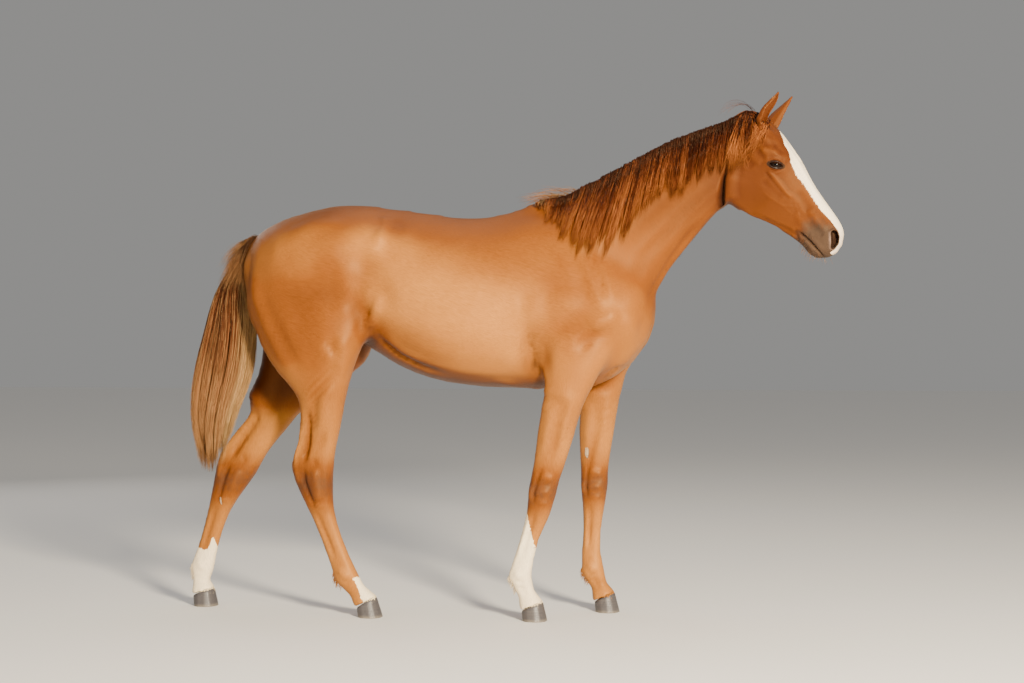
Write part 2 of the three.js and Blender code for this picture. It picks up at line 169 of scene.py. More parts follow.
# while it is remeshed the ears, head and legs are enlarged, so that one voxel size suits them all
zoomDetails = {
    "growing": [
        # which way it grows, a point on its axis, where it starts, over how far, and how much
        ((0.4, 0.0, 0.9165), (0.955, -0.055, 1.8), 1.965, 0.05, 1.9),
        ((0.8, 0.0, 0.6), (0.82, -0.01, 1.55), 1.15, 0.35, 3.3),
    ],
    "legFrom": 0.84,
    "legOver": 0.34,
    "legZoom": 2.1,
    "legMiddles": (0.1, -0.7),
    "legParting": (-0.25, -0.07),
}
headwards = np.array(zoomDetails["growing"][1][0])


def stretched(along, over, zoom, back):
    # how far along each point lies on the enlarged shape, or on the real one, and how much wider it is there
    steps = np.linspace(0, 1.4, 700)
    scale = 1 + (zoom - 1) * ramp(steps, 0, over)
    reach = np.concatenate([[0], np.cumsum((scale[1:] + scale[:-1]) / 2 * np.diff(steps))])
    if back:
        to = np.interp(along, reach, steps)
        return to, 1 / np.interp(to, steps, scale)
    return np.interp(along, steps, reach), np.interp(along, steps, scale)


def grown(places, way, axis, start, over, zoom, back):
    way, middle = np.array(way), np.array(axis)
    way = way / np.linalg.norm(way)
    middle = middle - way * (middle @ way)
    along = places @ way - start
    part = along > 0
    to, factor = stretched(along[part], over, zoom, back)
    aside = places[part] - np.outer(places[part] @ way, way) - middle
    places[part] = middle + aside * factor[:, None] + np.outer(to + start, way)
    return places


def zoomed(places, back=False):
    z = zoomDetails
    places = places.copy()
    if not back:
        for growing in z["growing"]:
            places = grown(places, *growing, back)
    depth = z["legFrom"] - places[:, 2]
    part = depth > 0
    to, factor = stretched(depth[part], z["legOver"], z["legZoom"], back)
    middles = np.where(places[part, 0] > z["legParting"][1 if back else 0], *z["legMiddles"])
    places[part, 0] = middles + (places[part, 0] - middles) * factor
    places[part, 1] *= factor
    places[part, 2] = z["legFrom"] - to
    if back:
        for growing in reversed(z["growing"]):
            places = grown(places, *growing, back)
    return places


def taperedRod(bm, start, end, radii, segments=14):
    start, end = Vector(start), Vector(end)
    turn = (end - start).to_track_quat("Z", "Y").to_matrix().to_4x4()
    place = Matrix.Translation((start + end) / 2) @ turn
    bmesh.ops.create_cone(bm, cap_ends=True, segments=segments, radius1=radii[0], radius2=radii[1],
                          depth=(end - start).length, matrix=place)


def fleshTogether():
    bm = bmesh.new()
    for name in skinDetails["flesh"]:
        bm.from_mesh(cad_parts[name].data)
    bmesh.ops.remove_doubles(bm, verts=bm.verts, dist=0.00001)
    bm.normal_update()
    for vert in bm.verts:
        vert.co += vert.normal * skinDetails["overlap"]
    bones = skinDetails["dock"]
    for (x, z, radius), (nextX, nextZ, nextRadius) in zip(bones, bones[1:]):
        taperedRod(bm, (x, 0, z), (nextX, 0, nextZ), (radius, nextRadius))
        bmesh.ops.create_icosphere(bm, subdivisions=2, radius=radius, matrix=Matrix.Translation((x, 0, z)))
    bmesh.ops.triangulate(bm, faces=bm.faces)
    bmesh.ops.subdivide_edges(bm, edges=bm.edges, cuts=2, use_grid_fill=True)
    return newObject("skin", meshOf("skin", bm))


def remeshed(piece, voxel):
    remesh = piece.modifiers.new("One skin", "REMESH")
    remesh.mode = "VOXEL"
    remesh.voxel_size = voxel
    return modifiersApplied(piece)


def oneSkin():
    skin = fleshTogether()
    moveTo(skin.data, zoomed(placesOf(skin.data)))
    remeshed(skin, skinDetails["voxel"])
    moveTo(skin.data, zoomed(placesOf(skin.data), back=True))
    moveTo(skin.data, evened(placesOf(skin.data), edgesOf(skin.data)))
    return skin


def averaged(values, edges, count):
    first, second = edges.T
    total = np.stack([np.bincount(first, column[second], count) + np.bincount(second, column[first], count)
                      for column in values.T], 1)
    return total / np.maximum(np.bincount(edges.ravel(), minlength=count), 1)[:, None]


def smoothed(places, edges, rounds, amount, hold=-0.53, pull=0.5):
    amount = np.broadcast_to(amount, len(places))[:, None]
    for step in range(rounds):
        for push in (pull, hold):
            places = places + (averaged(places, edges, len(places)) - places) * push * amount
    return places


def evened(places, edges):
    # all of it smoothed, and the body smoothed over longer runs, where its solid was cut into long facets
    places = smoothed(places, edges, skinDetails["rounds"], 1.0)
    x, y, z = places.T
    onBody = fall(places @ headwards, 1.3, 1.45) * ramp(z, 0.92, 1.08) * ramp(x, -0.99, -0.9)
    return smoothed(places, edges, skinDetails["bodyRounds"], onBody, hold=-0.507)


# ways of looking: the axis a ray runs along, its start, which way it goes, and whether in the head's axes
waysToLook = {
    "right": (1, -1.0, 1, False),
    "left": (1, 1.0, -1, False),
    "rightInside": (1, 0.0, -1, False),
    "leftInside": (1, 0.0, 1, False),
    "front": (0, 2.0, -1, False),
    "back": (0, -2.0, 1, False),
    "behindFore": (0, -0.2, 1, False),
    "beforeHind": (0, -0.3, -1, False),
    "under": (2, 0.3, 1, False),
    "above": (2, 3.0, -1, False),
    "rightCheek": (1, -0.4, 1, True),
    "leftCheek": (1, 0.4, -1, True),
    "face": (2, 0.4, -1, True),
    "jaw": (2, -0.5, 1, True),
    "muzzle": (0, 0.9, -1, True),
}
bothSides = {
    "sides": ("right", "left"),
    "cheeks": ("rightCheek", "leftCheek"),
    "insides": ("rightInside", "leftInside"),
}


def resampled(path, step):
    path = np.asarray(path, dtype=float)
    if len(path) == 1:
        return path
    runs = np.concatenate([[0], np.cumsum(np.linalg.norm(np.diff(path, axis=0), axis=1))])
    many = max(2, int(runs[-1] / step) + 1)
    at = np.linspace(0, runs[-1], many)
    return np.stack([np.interp(at, runs, path[:, k]) for k in range(path.shape[1])], 1)


class Clay:
    # the skin while it is worked: its places and normals, and what a ray meets

    def __init__(self, mesh):
        self.mesh = mesh
        self.refresh()

    def refresh(self):
        self.places = placesOf(self.mesh)
        self.normals = normalsOf(self.mesh)
        polygons = [tuple(polygon.vertices) for polygon in self.mesh.polygons]
        self.tree = BVHTree.FromPolygons([Vector(place) for place in self.places], polygons)

    def settle(self):
        moveTo(self.mesh, self.places)
        self.normals = normalsOf(self.mesh)

    def drawn(self, look, path, step=0.004):
        axis, start, way, onHead = waysToLook[look]
        others = [k for k in range(3) if k != axis]
        found = []
        for pair in resampled(path, step):
            origin, ray = np.zeros(3), np.zeros(3)
            origin[others] = pair
            origin[axis] = start
            ray[axis] = way
            if onHead:
                origin, ray = fromHead(origin), ray @ headFrame
            hit, normal, index, distance = self.tree.ray_cast(Vector(origin), Vector(ray))
            if hit is not None:
                found.append((*hit, *normal))
        return np.array(found)

    def near(self, look, path, radius, sharp=False, fade=0.25):
        # which points a stroke touches, and how strongly
        line = self.drawn(look, path, min(0.004, radius / 3) if len(path) > 1 else 0.004)
        if len(line) == 0:
            return np.zeros(0, dtype=int), np.zeros(0)
        low, high = line[:, :3].min(0) - radius, line[:, :3].max(0) + radius
        touched = np.flatnonzero(np.all((self.places > low) & (self.places < high), axis=1))
        apart = np.linalg.norm(self.places[touched][:, None, :] - line[None, :, :3], axis=2)
        nearest = apart.argmin(1)
        share = np.clip(1 - apart[np.arange(len(touched)), nearest] / radius, 0, 1)
        strength = share * share if sharp else (1 - (1 - share) ** 2) ** 2
        facing = np.einsum("ij,ij->i", self.normals[touched], line[nearest, 3:])
        strength = strength * ramp(facing, 0.0, 0.35)
        run = np.linalg.norm(np.diff(line[:, :3], axis=0), axis=1).sum()
        if fade and run > 4 * radius:
            along = nearest / (len(line) - 1)
            strength = strength * ramp(along, -0.02, fade) * ramp(1 - along, -0.02, fade)
        kept = strength > 0
        return touched[kept], strength[kept]

    def stroke(self, look, radius, height, path, sharp=False, fade=0.25):
        for side in bothSides.get(look, (look,)):
            touched, strength = self.near(side, path, radius, sharp, fade)
            self.places[touched] += self.normals[touched] * (strength * height)[:, None]

    def paint(self, values, look, radius, amount, path, fade=0.0):
        for side in bothSides.get(look, (look,)):
            touched, strength = self.near(side, path, radius, False, fade)
            values[touched] += (amount - values[touched]) * strength


# the body's forms, by how they are looked at: how wide and how high each is, and its path
bodyForms = {
    "sides": {
        "hip bone": (0.03, 0.0065, [(-0.425, 1.438), (-0.418, 1.412), (-0.43, 1.372)]),
        "hip ridge": (0.03, 0.004, [(-0.42, 1.4), (-0.442, 1.348), (-0.479, 1.307)]),
        "before the hip": (0.05, -0.003, [(-0.385, 1.425), (-0.375, 1.37), (-0.392, 1.31)]),
        "croup muscle": (0.07, 0.004, [(-0.6, 1.455), (-0.69, 1.415), (-0.77, 1.365), (-0.85, 1.3)]),
        "beside the croup": (0.05, -0.002, [(-0.54, 1.42), (-0.62, 1.385), (-0.7, 1.34)]),
        "rump": (0.09, 0.004, [(-0.56, 1.33), (-0.6, 1.24), (-0.61, 1.14)]),
        "back of the thigh": (0.045, 0.006,
            [(-0.92, 1.26), (-0.885, 1.17), (-0.85, 1.07), (-0.79, 0.95), (-0.735, 0.86)]),
        "thigh furrow": (0.032, -0.006,
            [(-0.885, 1.215), (-0.849, 1.128), (-0.808, 1.045), (-0.755, 0.955), (-0.717, 0.887)]),
        "second thigh furrow": (0.04, -0.002, [(-0.76, 1.18), (-0.72, 1.09), (-0.69, 1.0)]),
        "front of the thigh": (0.06, 0.008, [(-0.53, 1.3), (-0.545, 1.217), (-0.55, 1.142), (-0.56, 1.06)]),
        "flank hollow": (0.06, -0.006, [(-0.47, 1.28), (-0.44, 1.217), (-0.405, 1.15)]),
        "flank fold": (0.024, 0.009, [(-0.42, 1.175), (-0.44, 1.12), (-0.462, 1.072), (-0.492, 1.03)]),
        "behind the flank fold": (0.02, -0.006, [(-0.468, 1.12), (-0.492, 1.07), (-0.512, 1.02)]),
        "belly fold": (0.018, -0.01,
            [(-0.455, 1.03), (-0.426, 0.992), (-0.372, 0.945), (-0.281, 0.9), (-0.19, 0.872)]),
        "above the belly fold": (0.03, 0.004, [(-0.42, 1.02), (-0.35, 0.96), (-0.26, 0.92)]),
        "kneecap": (0.045, 0.007, [(-0.56, 0.985), (-0.556, 0.945), (-0.565, 0.905)]),
        "above the stifle": (0.028, 0.004, [(-0.64, 0.975), (-0.605, 0.94), (-0.585, 0.925)]),
        "stifle furrow": (0.026, -0.005, [(-0.6, 0.985), (-0.583, 0.945), (-0.592, 0.895)]),
        "scapula edge": (0.03, 0.0055,
            [(0.245, 1.395), (0.3, 1.3), (0.33, 1.243), (0.35, 1.18), (0.366, 1.13), (0.38, 1.085)]),
        "before the scapula": (0.028, -0.006, [(0.3, 1.345), (0.335, 1.275), (0.362, 1.205), (0.384, 1.14)]),
        "neck root muscle": (0.028, 0.0045, [(0.325, 1.32), (0.362, 1.25), (0.392, 1.18), (0.412, 1.125)]),
        "point of shoulder": (0.05, 0.01, [(0.365, 1.055), (0.4, 1.075)]),
        "below the shoulder": (0.03, -0.008, [(0.3, 0.985), (0.335, 1.02), (0.38, 1.03)]),
        "upper arm": (0.07, 0.008, [(0.21, 0.97), (0.28, 1.02), (0.33, 1.06)]),
        "triceps": (0.085, 0.008, [(0.13, 1.09), (0.19, 1.05), (0.24, 1.12)]),
        "triceps edge": (0.034, -0.004, [(0.1, 1.18), (0.092, 1.09), (0.118, 1.0)]),
        "scapula spine": (0.026, 0.002, [(0.18, 1.38), (0.23, 1.28), (0.275, 1.18)]),
        "elbow crease": (0.017, -0.018, [(0.1, 1.03), (0.112, 0.985), (0.124, 0.93), (0.136, 0.868)]),
        "elbow wrinkle": (0.008, -0.003, [(0.045, 0.935), (0.08, 0.905), (0.112, 0.868)]),
        "elbow wrinkle above": (0.007, -0.0022, [(0.055, 0.965), (0.092, 0.93), (0.12, 0.898)]),
        "elbow": (0.026, 0.008, [(0.162, 0.9), (0.17, 0.87)]),
        "girth": (0.06, 0.004, [(0.06, 1.0), (0.05, 0.93)]),
        "ribs": (0.018, 0.001, [(-0.1, 1.26), (-0.15, 1.13), (-0.215, 1.01)]),
        "rib two": (0.018, 0.001, [(-0.03, 1.27), (-0.08, 1.13), (-0.14, 1.0)]),
        "rib three": (0.018, 0.0008, [(-0.17, 1.26), (-0.225, 1.14), (-0.29, 1.04)]),
        "loin": (0.04, 0.0015, [(-0.38, 1.47), (-0.24, 1.462), (-0.1, 1.455)]),
        "beside the withers": (0.05, -0.003, [(0.06, 1.46), (0.16, 1.45), (0.23, 1.42)]),
        "neck crest furrow": (0.045, -0.004, [(0.35, 1.44), (0.48, 1.52), (0.62, 1.59), (0.74, 1.65)]),
        "neck muscle": (0.055, 0.004,
            [(0.43, 1.3), (0.52, 1.38), (0.61, 1.465), (0.7, 1.545), (0.77, 1.61)]),
        "neck furrow": (0.03, -0.003,
            [(0.47, 1.255), (0.54, 1.335), (0.62, 1.425), (0.7, 1.505), (0.76, 1.555)]),
        "brachial muscle": (0.035, 0.0045,
            [(0.455, 1.09), (0.49, 1.17), (0.54, 1.27), (0.61, 1.36), (0.68, 1.44)]),
        "jugular furrow": (0.022, -0.007,
            [(0.517, 1.1), (0.547, 1.19), (0.605, 1.285), (0.665, 1.365), (0.715, 1.43)]),
        "windpipe": (0.026, 0.0035, [(0.585, 1.23), (0.64, 1.305), (0.7, 1.38), (0.745, 1.432)]),
        "breast muscle": (0.055, 0.008, [(0.44, 0.93), (0.47, 0.99), (0.475, 1.06)]),
        "breast crease": (0.01, -0.008, [(0.345, 0.842), (0.372, 0.87), (0.405, 0.892), (0.44, 0.92)]),
        "breast crease below": (0.009, -0.0055, [(0.352, 0.865), (0.392, 0.888), (0.42, 0.906)]),
    },
    "front": {
        "breast middle": (0.024, -0.01, [(0.0, 1.1), (0.0, 1.02), (0.0, 0.93)]),
        "breast right": (0.06, 0.006, [(-0.07, 1.06), (-0.08, 0.98)]),
        "breast left": (0.06, 0.006, [(0.07, 1.06), (0.08, 0.98)]),
    },
    "back": {
        "between the buttocks": (0.022, -0.016, [(0.0, 1.3), (0.0, 1.2), (0.0, 1.08), (0.0, 1.0)]),
        "right buttock": (0.06, 0.008, [(-0.085, 1.27), (-0.095, 1.18), (-0.105, 1.08)]),
        "left buttock": (0.06, 0.008, [(0.085, 1.27), (0.095, 1.18), (0.105, 1.08)]),
        "far thigh": (0.08, 0.036, [(0.1, 1.06), (0.105, 0.98), (0.11, 0.9), (0.11, 0.79)]),
    },
    "above": {
        "spine": (0.02, 0.003, [(-0.5, 0.0), (-0.3, 0.0), (-0.1, 0.0)]),
    },
}

# the legs' forms: which legs, which face, how wide, how high, and a path of shares from the back edge (-1) to
# the front (1) at heights above the floor
legForms = {
    "forearm front muscle": ("fore", "both", 0.024, 0.006,
        [(0.45, 0.85), (0.42, 0.78), (0.45, 0.7), (0.45, 0.62)]),
    "forearm furrow": ("fore", "outside", 0.018, -0.006,
        [(-0.05, 0.845), (0.0, 0.773), (0.05, 0.702), (0.1, 0.613), (0.0, 0.56)]),
    "inner forearm furrow": ("fore", "inside", 0.013, -0.0055,
        [(0.08, 0.8), (-0.05, 0.745), (0.0, 0.65), (-0.25, 0.575), (-0.35, 0.515)]),
    "forearm furrow before": ("fore", "outside", 0.015, -0.004,
        [(0.55, 0.815), (0.62, 0.755), (0.65, 0.684), (0.55, 0.62)]),
    "forearm rear muscle": ("fore", "both", 0.02, 0.004,
        [(-0.48, 0.83), (-0.48, 0.75), (-0.48, 0.67), (-0.48, 0.59)]),
    "elbow muscle": ("fore", "outside", 0.02, 0.006, [(-0.25, 0.866), (-0.18, 0.835), (-0.15, 0.81)]),
    "knee top": ("fore", "both", 0.018, 0.004, [(-0.15, 0.52), (0.4, 0.51)]),
    "knee bones": ("fore", "both", 0.015, 0.0035, [(-0.3, 0.462), (0.35, 0.462)]),
    "knee furrow": ("fore", "both", 0.008, -0.003, [(-0.4, 0.49), (0.1, 0.487), (0.55, 0.49)]),
    "knee hollow": ("fore", "both", 0.011, -0.005,
        [(-0.3, 0.56), (-0.5, 0.505), (-0.55, 0.455), (-0.5, 0.415)]),
    "knee foot": ("fore", "both", 0.012, 0.003, [(-0.05, 0.425), (0.45, 0.422)]),
    "knee back": ("fore", "both", 0.014, 0.004, [(-0.8, 0.47), (-0.8, 0.445)]),
    "fore tendon furrow": ("fore", "both", 0.008, -0.0045,
        [(-0.22, 0.4), (-0.22, 0.35), (-0.22, 0.29), (-0.2, 0.225)]),
    "fore tendon": ("fore", "both", 0.008, 0.003,
        [(-0.62, 0.39), (-0.62, 0.33), (-0.6, 0.27), (-0.6, 0.215)]),
    "fore fetlock": ("fore", "both", 0.018, 0.004, [(-0.2, 0.17), (0.0, 0.158)]),
    "fore fetlock furrow": ("fore", "both", 0.008, -0.0025, [(-0.15, 0.14), (0.25, 0.138)]),
    "fore pastern hollow": ("fore", "both", 0.014, -0.003, [(-0.05, 0.118), (0.0, 0.1)]),
    "gaskin muscle": ("hind", "both", 0.034, 0.006,
        [(0.25, 0.86), (0.25, 0.79), (0.25, 0.72), (0.25, 0.65)]),
    "gaskin furrow": ("hind", "outside", 0.018, -0.006,
        [(-0.1, 0.88), (-0.15, 0.79), (-0.2, 0.72), (-0.25, 0.66)]),
    "gaskin hollow": ("hind", "outside", 0.018, -0.004, [(0.4, 0.73), (0.35, 0.66), (0.3, 0.6)]),
    "achilles furrow": ("hind", "both", 0.018, -0.012,
        [(-0.55, 0.76), (-0.5, 0.7), (-0.42, 0.64), (-0.35, 0.585), (-0.35, 0.545)]),
    "achilles": ("hind", "both", 0.012, 0.005, [(-0.85, 0.7), (-0.84, 0.64), (-0.82, 0.58), (-0.8, 0.53)]),
    "point of hock": ("hind", "both", 0.018, 0.005, [(-0.75, 0.52), (-0.72, 0.495)]),
    "hock furrow": ("hind", "both", 0.012, -0.007,
        [(-0.32, 0.545), (-0.38, 0.49), (-0.32, 0.43), (-0.25, 0.39)]),
    "hock bones": ("hind", "both", 0.022, 0.005, [(0.2, 0.52), (0.2, 0.48), (0.2, 0.435)]),
    "hock hollow": ("hind", "both", 0.012, -0.003, [(0.15, 0.565), (0.25, 0.55)]),
    "hock foot": ("hind", "both", 0.014, 0.003, [(-0.1, 0.405), (0.25, 0.4)]),
    "hind tendon furrow": ("hind", "both", 0.008, -0.0045,
        [(-0.25, 0.385), (-0.22, 0.32), (-0.2, 0.26), (-0.2, 0.205)]),
    "hind tendon": ("hind", "both", 0.008, 0.003,
        [(-0.62, 0.38), (-0.6, 0.32), (-0.6, 0.26), (-0.6, 0.205)]),
    "hind fetlock": ("hind", "both", 0.018, 0.004, [(-0.2, 0.165), (0.0, 0.15)]),
    "hind fetlock furrow": ("hind", "both", 0.008, -0.0025, [(-0.15, 0.13), (0.25, 0.128)]),
}

# the head's forms, along the face and out of the brow
headForms = {
    "facial crest": ("cheeks", 0.018, 0.003,
        [(0.218, -0.06), (0.265, -0.054), (0.31, -0.05), (0.345, -0.038)]),
    "crest edge": ("cheeks", 0.0085, 0.003,
        [(0.222, -0.057), (0.238, -0.052), (0.283, -0.046), (0.319, -0.044), (0.344, -0.033)]),
    "under the crest": ("cheeks", 0.0075, -0.0032,
        [(0.215, -0.071), (0.233, -0.067), (0.28, -0.061), (0.318, -0.055), (0.342, -0.046)]),
    "below the crest": ("cheeks", 0.022, -0.0022, [(0.235, -0.092), (0.285, -0.082), (0.325, -0.072)]),
    "cheek": ("cheeks", 0.085, 0.004, [(0.13, -0.13), (0.18, -0.15), (0.23, -0.16)]),
    "cheek rear": ("cheeks", 0.032, 0.006,
        [(0.118, -0.138), (0.15, -0.168), (0.18, -0.192), (0.205, -0.21), (0.235, -0.226)]),
    "jaw furrow": ("cheeks", 0.015, -0.0042,
        [(0.34, -0.172), (0.361, -0.158), (0.39, -0.137), (0.42, -0.115), (0.45, -0.099), (0.475, -0.091)]),
    "jaw edge": ("cheeks", 0.014, 0.0022, [(0.3, -0.205), (0.34, -0.19), (0.39, -0.16), (0.44, -0.128)]),
    "brow": ("cheeks", 0.022, 0.0042, [(0.15, -0.03), (0.166, -0.017), (0.185, -0.002), (0.208, 0.012)]),
    "behind the brow": ("cheeks", 0.019, -0.0022, [(0.146, -0.05), (0.164, -0.046)]),
    "over the brow": ("cheeks", 0.024, -0.0035, [(0.11, -0.034), (0.13, -0.016), (0.15, 0.004)]),
    "temple arch": ("cheeks", 0.02, 0.003, [(0.186, -0.066), (0.15, -0.078), (0.105, -0.076)]),
    "below the temple": ("cheeks", 0.022, -0.003, [(0.165, -0.104), (0.13, -0.11), (0.095, -0.108)]),
    "ear base": ("cheeks", 0.026, 0.004, [(0.05, -0.05), (0.072, -0.03)]),
    "nose bone": ("face", 0.018, 0.0018, [(0.2, -0.03), (0.3, -0.026), (0.4, -0.022)]),
    "nose bone left": ("face", 0.018, 0.0018, [(0.2, 0.03), (0.3, 0.026), (0.4, 0.022)]),
    "nose side hollow": ("cheeks", 0.024, -0.0026, [(0.345, -0.012), (0.385, -0.01), (0.42, -0.012)]),
    "nose side": ("cheeks", 0.018, 0.0048, [(0.418, -0.01), (0.455, -0.003), (0.488, 0.004)]),
    "nostril furrow": ("cheeks", 0.018, -0.0032, [(0.512, -0.012), (0.48, -0.026), (0.44, -0.034)]),
    "lip muscle": ("cheeks", 0.018, 0.0018, [(0.4, -0.052), (0.435, -0.057), (0.465, -0.058)]),
    "cheek vein": ("cheeks", 0.006, 0.0016,
        [(0.262, -0.118), (0.3, -0.104), (0.345, -0.082), (0.392, -0.07)]),
    "nose wrinkle": ("cheeks", 0.006, -0.0014, [(0.352, -0.046), (0.38, -0.05), (0.405, -0.06)]),
    "second nose wrinkle": ("cheeks", 0.006, -0.0012, [(0.362, -0.034), (0.395, -0.04), (0.42, -0.05)]),
    "nose vein": ("cheeks", 0.006, 0.0014,
        [(0.345, -0.082), (0.372, -0.048), (0.398, -0.03), (0.418, -0.022)]),
    "mouth": ("cheeks", 0.007, -0.0075,
        [(0.452, -0.084), (0.47, -0.074), (0.504, -0.063), (0.529, -0.058), (0.558, -0.053), (0.582, -0.05)]),
    "mouth corner": ("cheeks", 0.012, -0.004, [(0.446, -0.088), (0.466, -0.077)]),
    "upper lip": ("cheeks", 0.014, 0.0026, [(0.48, -0.054), (0.52, -0.046), (0.555, -0.04)]),
    "lower lip": ("cheeks", 0.012, 0.003, [(0.488, -0.079), (0.515, -0.074), (0.54, -0.07)]),
    "chin furrow": ("cheeks", 0.014, -0.003, [(0.462, -0.098), (0.485, -0.1)]),
    "between the jaws": ("jaw", 0.022, -0.012, [(0.15, 0.0), (0.25, 0.0), (0.34, 0.0), (0.42, 0.0)]),
}


strokeDetails = {
    "bodyHeight": 1.15,
    "legHeight": 1.35,
    "headFade": 0.12,
    "sharpBelow": 0.007,
    "calm": [(4, -0.42), (16, -0.47), (20, -0.3)],  # rounds and hold: the forearms, the belly, the back
}


def legSpans(places):
    # each leg's back and front edge and its middle, at heights up from the floor
    spans = {}
    for name, fore, side in (("fore_leg_right", True, -1), ("fore_leg_left", True, 1),
                             ("hind_leg_right", False, -1), ("hind_leg_left", False, 1)):
        mine = places[(places[:, 1] * side > 0.02) & ((places[:, 0] > -0.3) == fore) & (places[:, 2] < 0.9)]
        rows = []
        for height in np.arange(0.06, 0.9, 0.015):
            level = mine[np.abs(mine[:, 2] - height) < 0.01]
            if len(level) > 6:
                rows.append((height, level[:, 0].min(), level[:, 0].max(), level[:, 1].mean()))
        spans[name] = np.array(rows)
    return spans


def alongLeg(rows, path):
    path = np.array(path)
    back = np.interp(path[:, 1], rows[:, 0], rows[:, 1])
    front = np.interp(path[:, 1], rows[:, 0], rows[:, 2])
    return np.stack([(back + front) / 2 + path[:, 0] * (front - back) / 2, path[:, 1]], 1)


def sculpt(clay):
    for look, forms in bodyForms.items():
        for radius, height, path in forms.values():
            clay.stroke(look, radius, height * strokeDetails["bodyHeight"], path)
    spans = legSpans(clay.places)
    looks = {"outside": [""], "inside": ["Inside"], "both": ["", "Inside"]}
    for kind, face, radius, height, path in legForms.values():
        for leg in [name for name in spans if name.startswith(kind)]:
            for look in looks[face]:
                side = leg.split("_")[-1] + look
                clay.stroke(side, radius, height * strokeDetails["legHeight"], alongLeg(spans[leg], path))
    calm(clay)
    clay.settle()
    fine = np.maximum(ramp(clay.places @ headwards, 1.4, 1.5), ramp(0.6 - clay.places[:, 2], 0, 0.2))
    depth = skinDetails["bodyDepth"] + (skinDetails["fineDepth"] - skinDetails["bodyDepth"]) * fine
    clay.places -= clay.normals * depth[:, None]
    clay.settle()


def calm(clay):
    # the forearms, the belly and the line of the back smoothed again over their strokes
    x, y, z = clay.places.T
    forearms = ramp(z, 0.53, 0.6) * ramp(0.93 - z, 0, 0.06) * ramp(x, 0.0, 0.08)
    belly = ramp(0.93 - z, 0, 0.04) * ramp(z, 0.78, 0.82) * ramp(x, -0.4, -0.3) * ramp(0.112 - x, 0, 0.03)
    back = ramp(z, 1.36, 1.4) * fall(np.abs(y), 0.05, 0.09) * ramp(x, -0.86, -0.76) * ramp(0.1 - x, 0, 0.06)
    for part, (rounds, hold) in zip((forearms, belly, back), strokeDetails["calm"]):
        clay.places = smoothed(clay.places, edgesOf(clay.mesh), rounds, part, hold)


def refined(mesh, spots):
    # smaller faces round the eyes, nostrils and mouth
    bm = bmesh.new()
    bm.from_mesh(mesh)
    centres = np.array([face.calc_center_median() for face in bm.faces])
    chosen = np.zeros(len(centres), dtype=bool)
    for place, radius in spots:
        chosen |= np.linalg.norm(centres - place, axis=1) < radius
    bm.faces.ensure_lookup_table()
    picked = {edge for index in np.flatnonzero(chosen) for edge in bm.faces[index].edges}
    bmesh.ops.subdivide_edges(bm, edges=list(picked), cuts=1, use_grid_fill=True)
    bm.to_mesh(mesh)
    bm.free()


lidDetails = {
    "gaze": (0.2, 1.0, 0.16),
    "corners": (0.68, 0.0, 0.73),  # from the back corner to the front one
    "halfLength": 0.0245,
    "openAbove": 0.012,
    "openBelow": 0.01,
    "thickness": 0.0022,
    "reach": 0.038,
    "rimRadius": 0.00135,
    "rounds": 14,
    "softness": 0.0055,
    "sunk": 0.004,
    # above the opening or not, how far from its edge, how wide, how high, and where it narrows along the lid
    "folds": [(True, 0.006, 0.0016, -0.0015, 0, 0.012, 0.026), (True, 0.0115, 0.004, 0.0018, 0, 0.012, 0.026),
              (False, -0.0055, 0.0015, -0.0009, 0, 0.012, 0.026),
              (False, -0.0105, 0.0014, -0.0006, 0.002, 0.008, 0.02)],
}


def eyeAxes(side):
    gaze = unit(np.array(lidDetails["gaze"]) * (1, side, 1))
    across = np.array(lidDetails["corners"])
    across = unit(across - gaze * (across @ gaze))
    above = np.cross(gaze, across) * side
    if above @ np.array([-0.86, 0, 0.5]) < 0:
        above = -above
    return np.array(headDetails["eye"]) * (1, side, 1), across, above, gaze


def overEyeball(side, a, b, off):
    # places a little off the eyeball, at a along its opening and b above the middle of it
    centre, across, above, gaze = eyeAxes(side)
    c = np.sqrt(np.clip((headDetails["eyeRadius"] + off) ** 2 - a ** 2 - b ** 2, 0, None))
    return fromHead(centre + np.outer(a, across) + np.outer(b, above) + np.outer(c, gaze))


def lidEdge(across, above=True):
    share = np.clip(1 - (across / lidDetails["halfLength"]) ** 2, 0, 1)
    lift = lidDetails["openAbove"] if above else -lidDetails["openBelow"]
    return lift * share ** 0.75


def overBall(base, flat, outer, softness):
    # the surface there is and the eyeball's, whichever is higher, blended where they meet
    ball = np.sqrt(np.clip(outer ** 2 - np.minimum(flat, 0.8 * outer) ** 2, 0, None))
    ball = ball - np.clip(flat - 0.8 * outer, 0, None) * 1.33
    share = np.clip(0.5 + 0.5 * (ball - base) / softness, 0, 1)
    return base + (ball - base) * share + softness * share * (1 - share)


def fitted(terms, heights, used=slice(None)):
    # a smooth surface through the heights that are used
    return terms @ np.linalg.lstsq(terms[used], heights[used], rcond=None)[0]


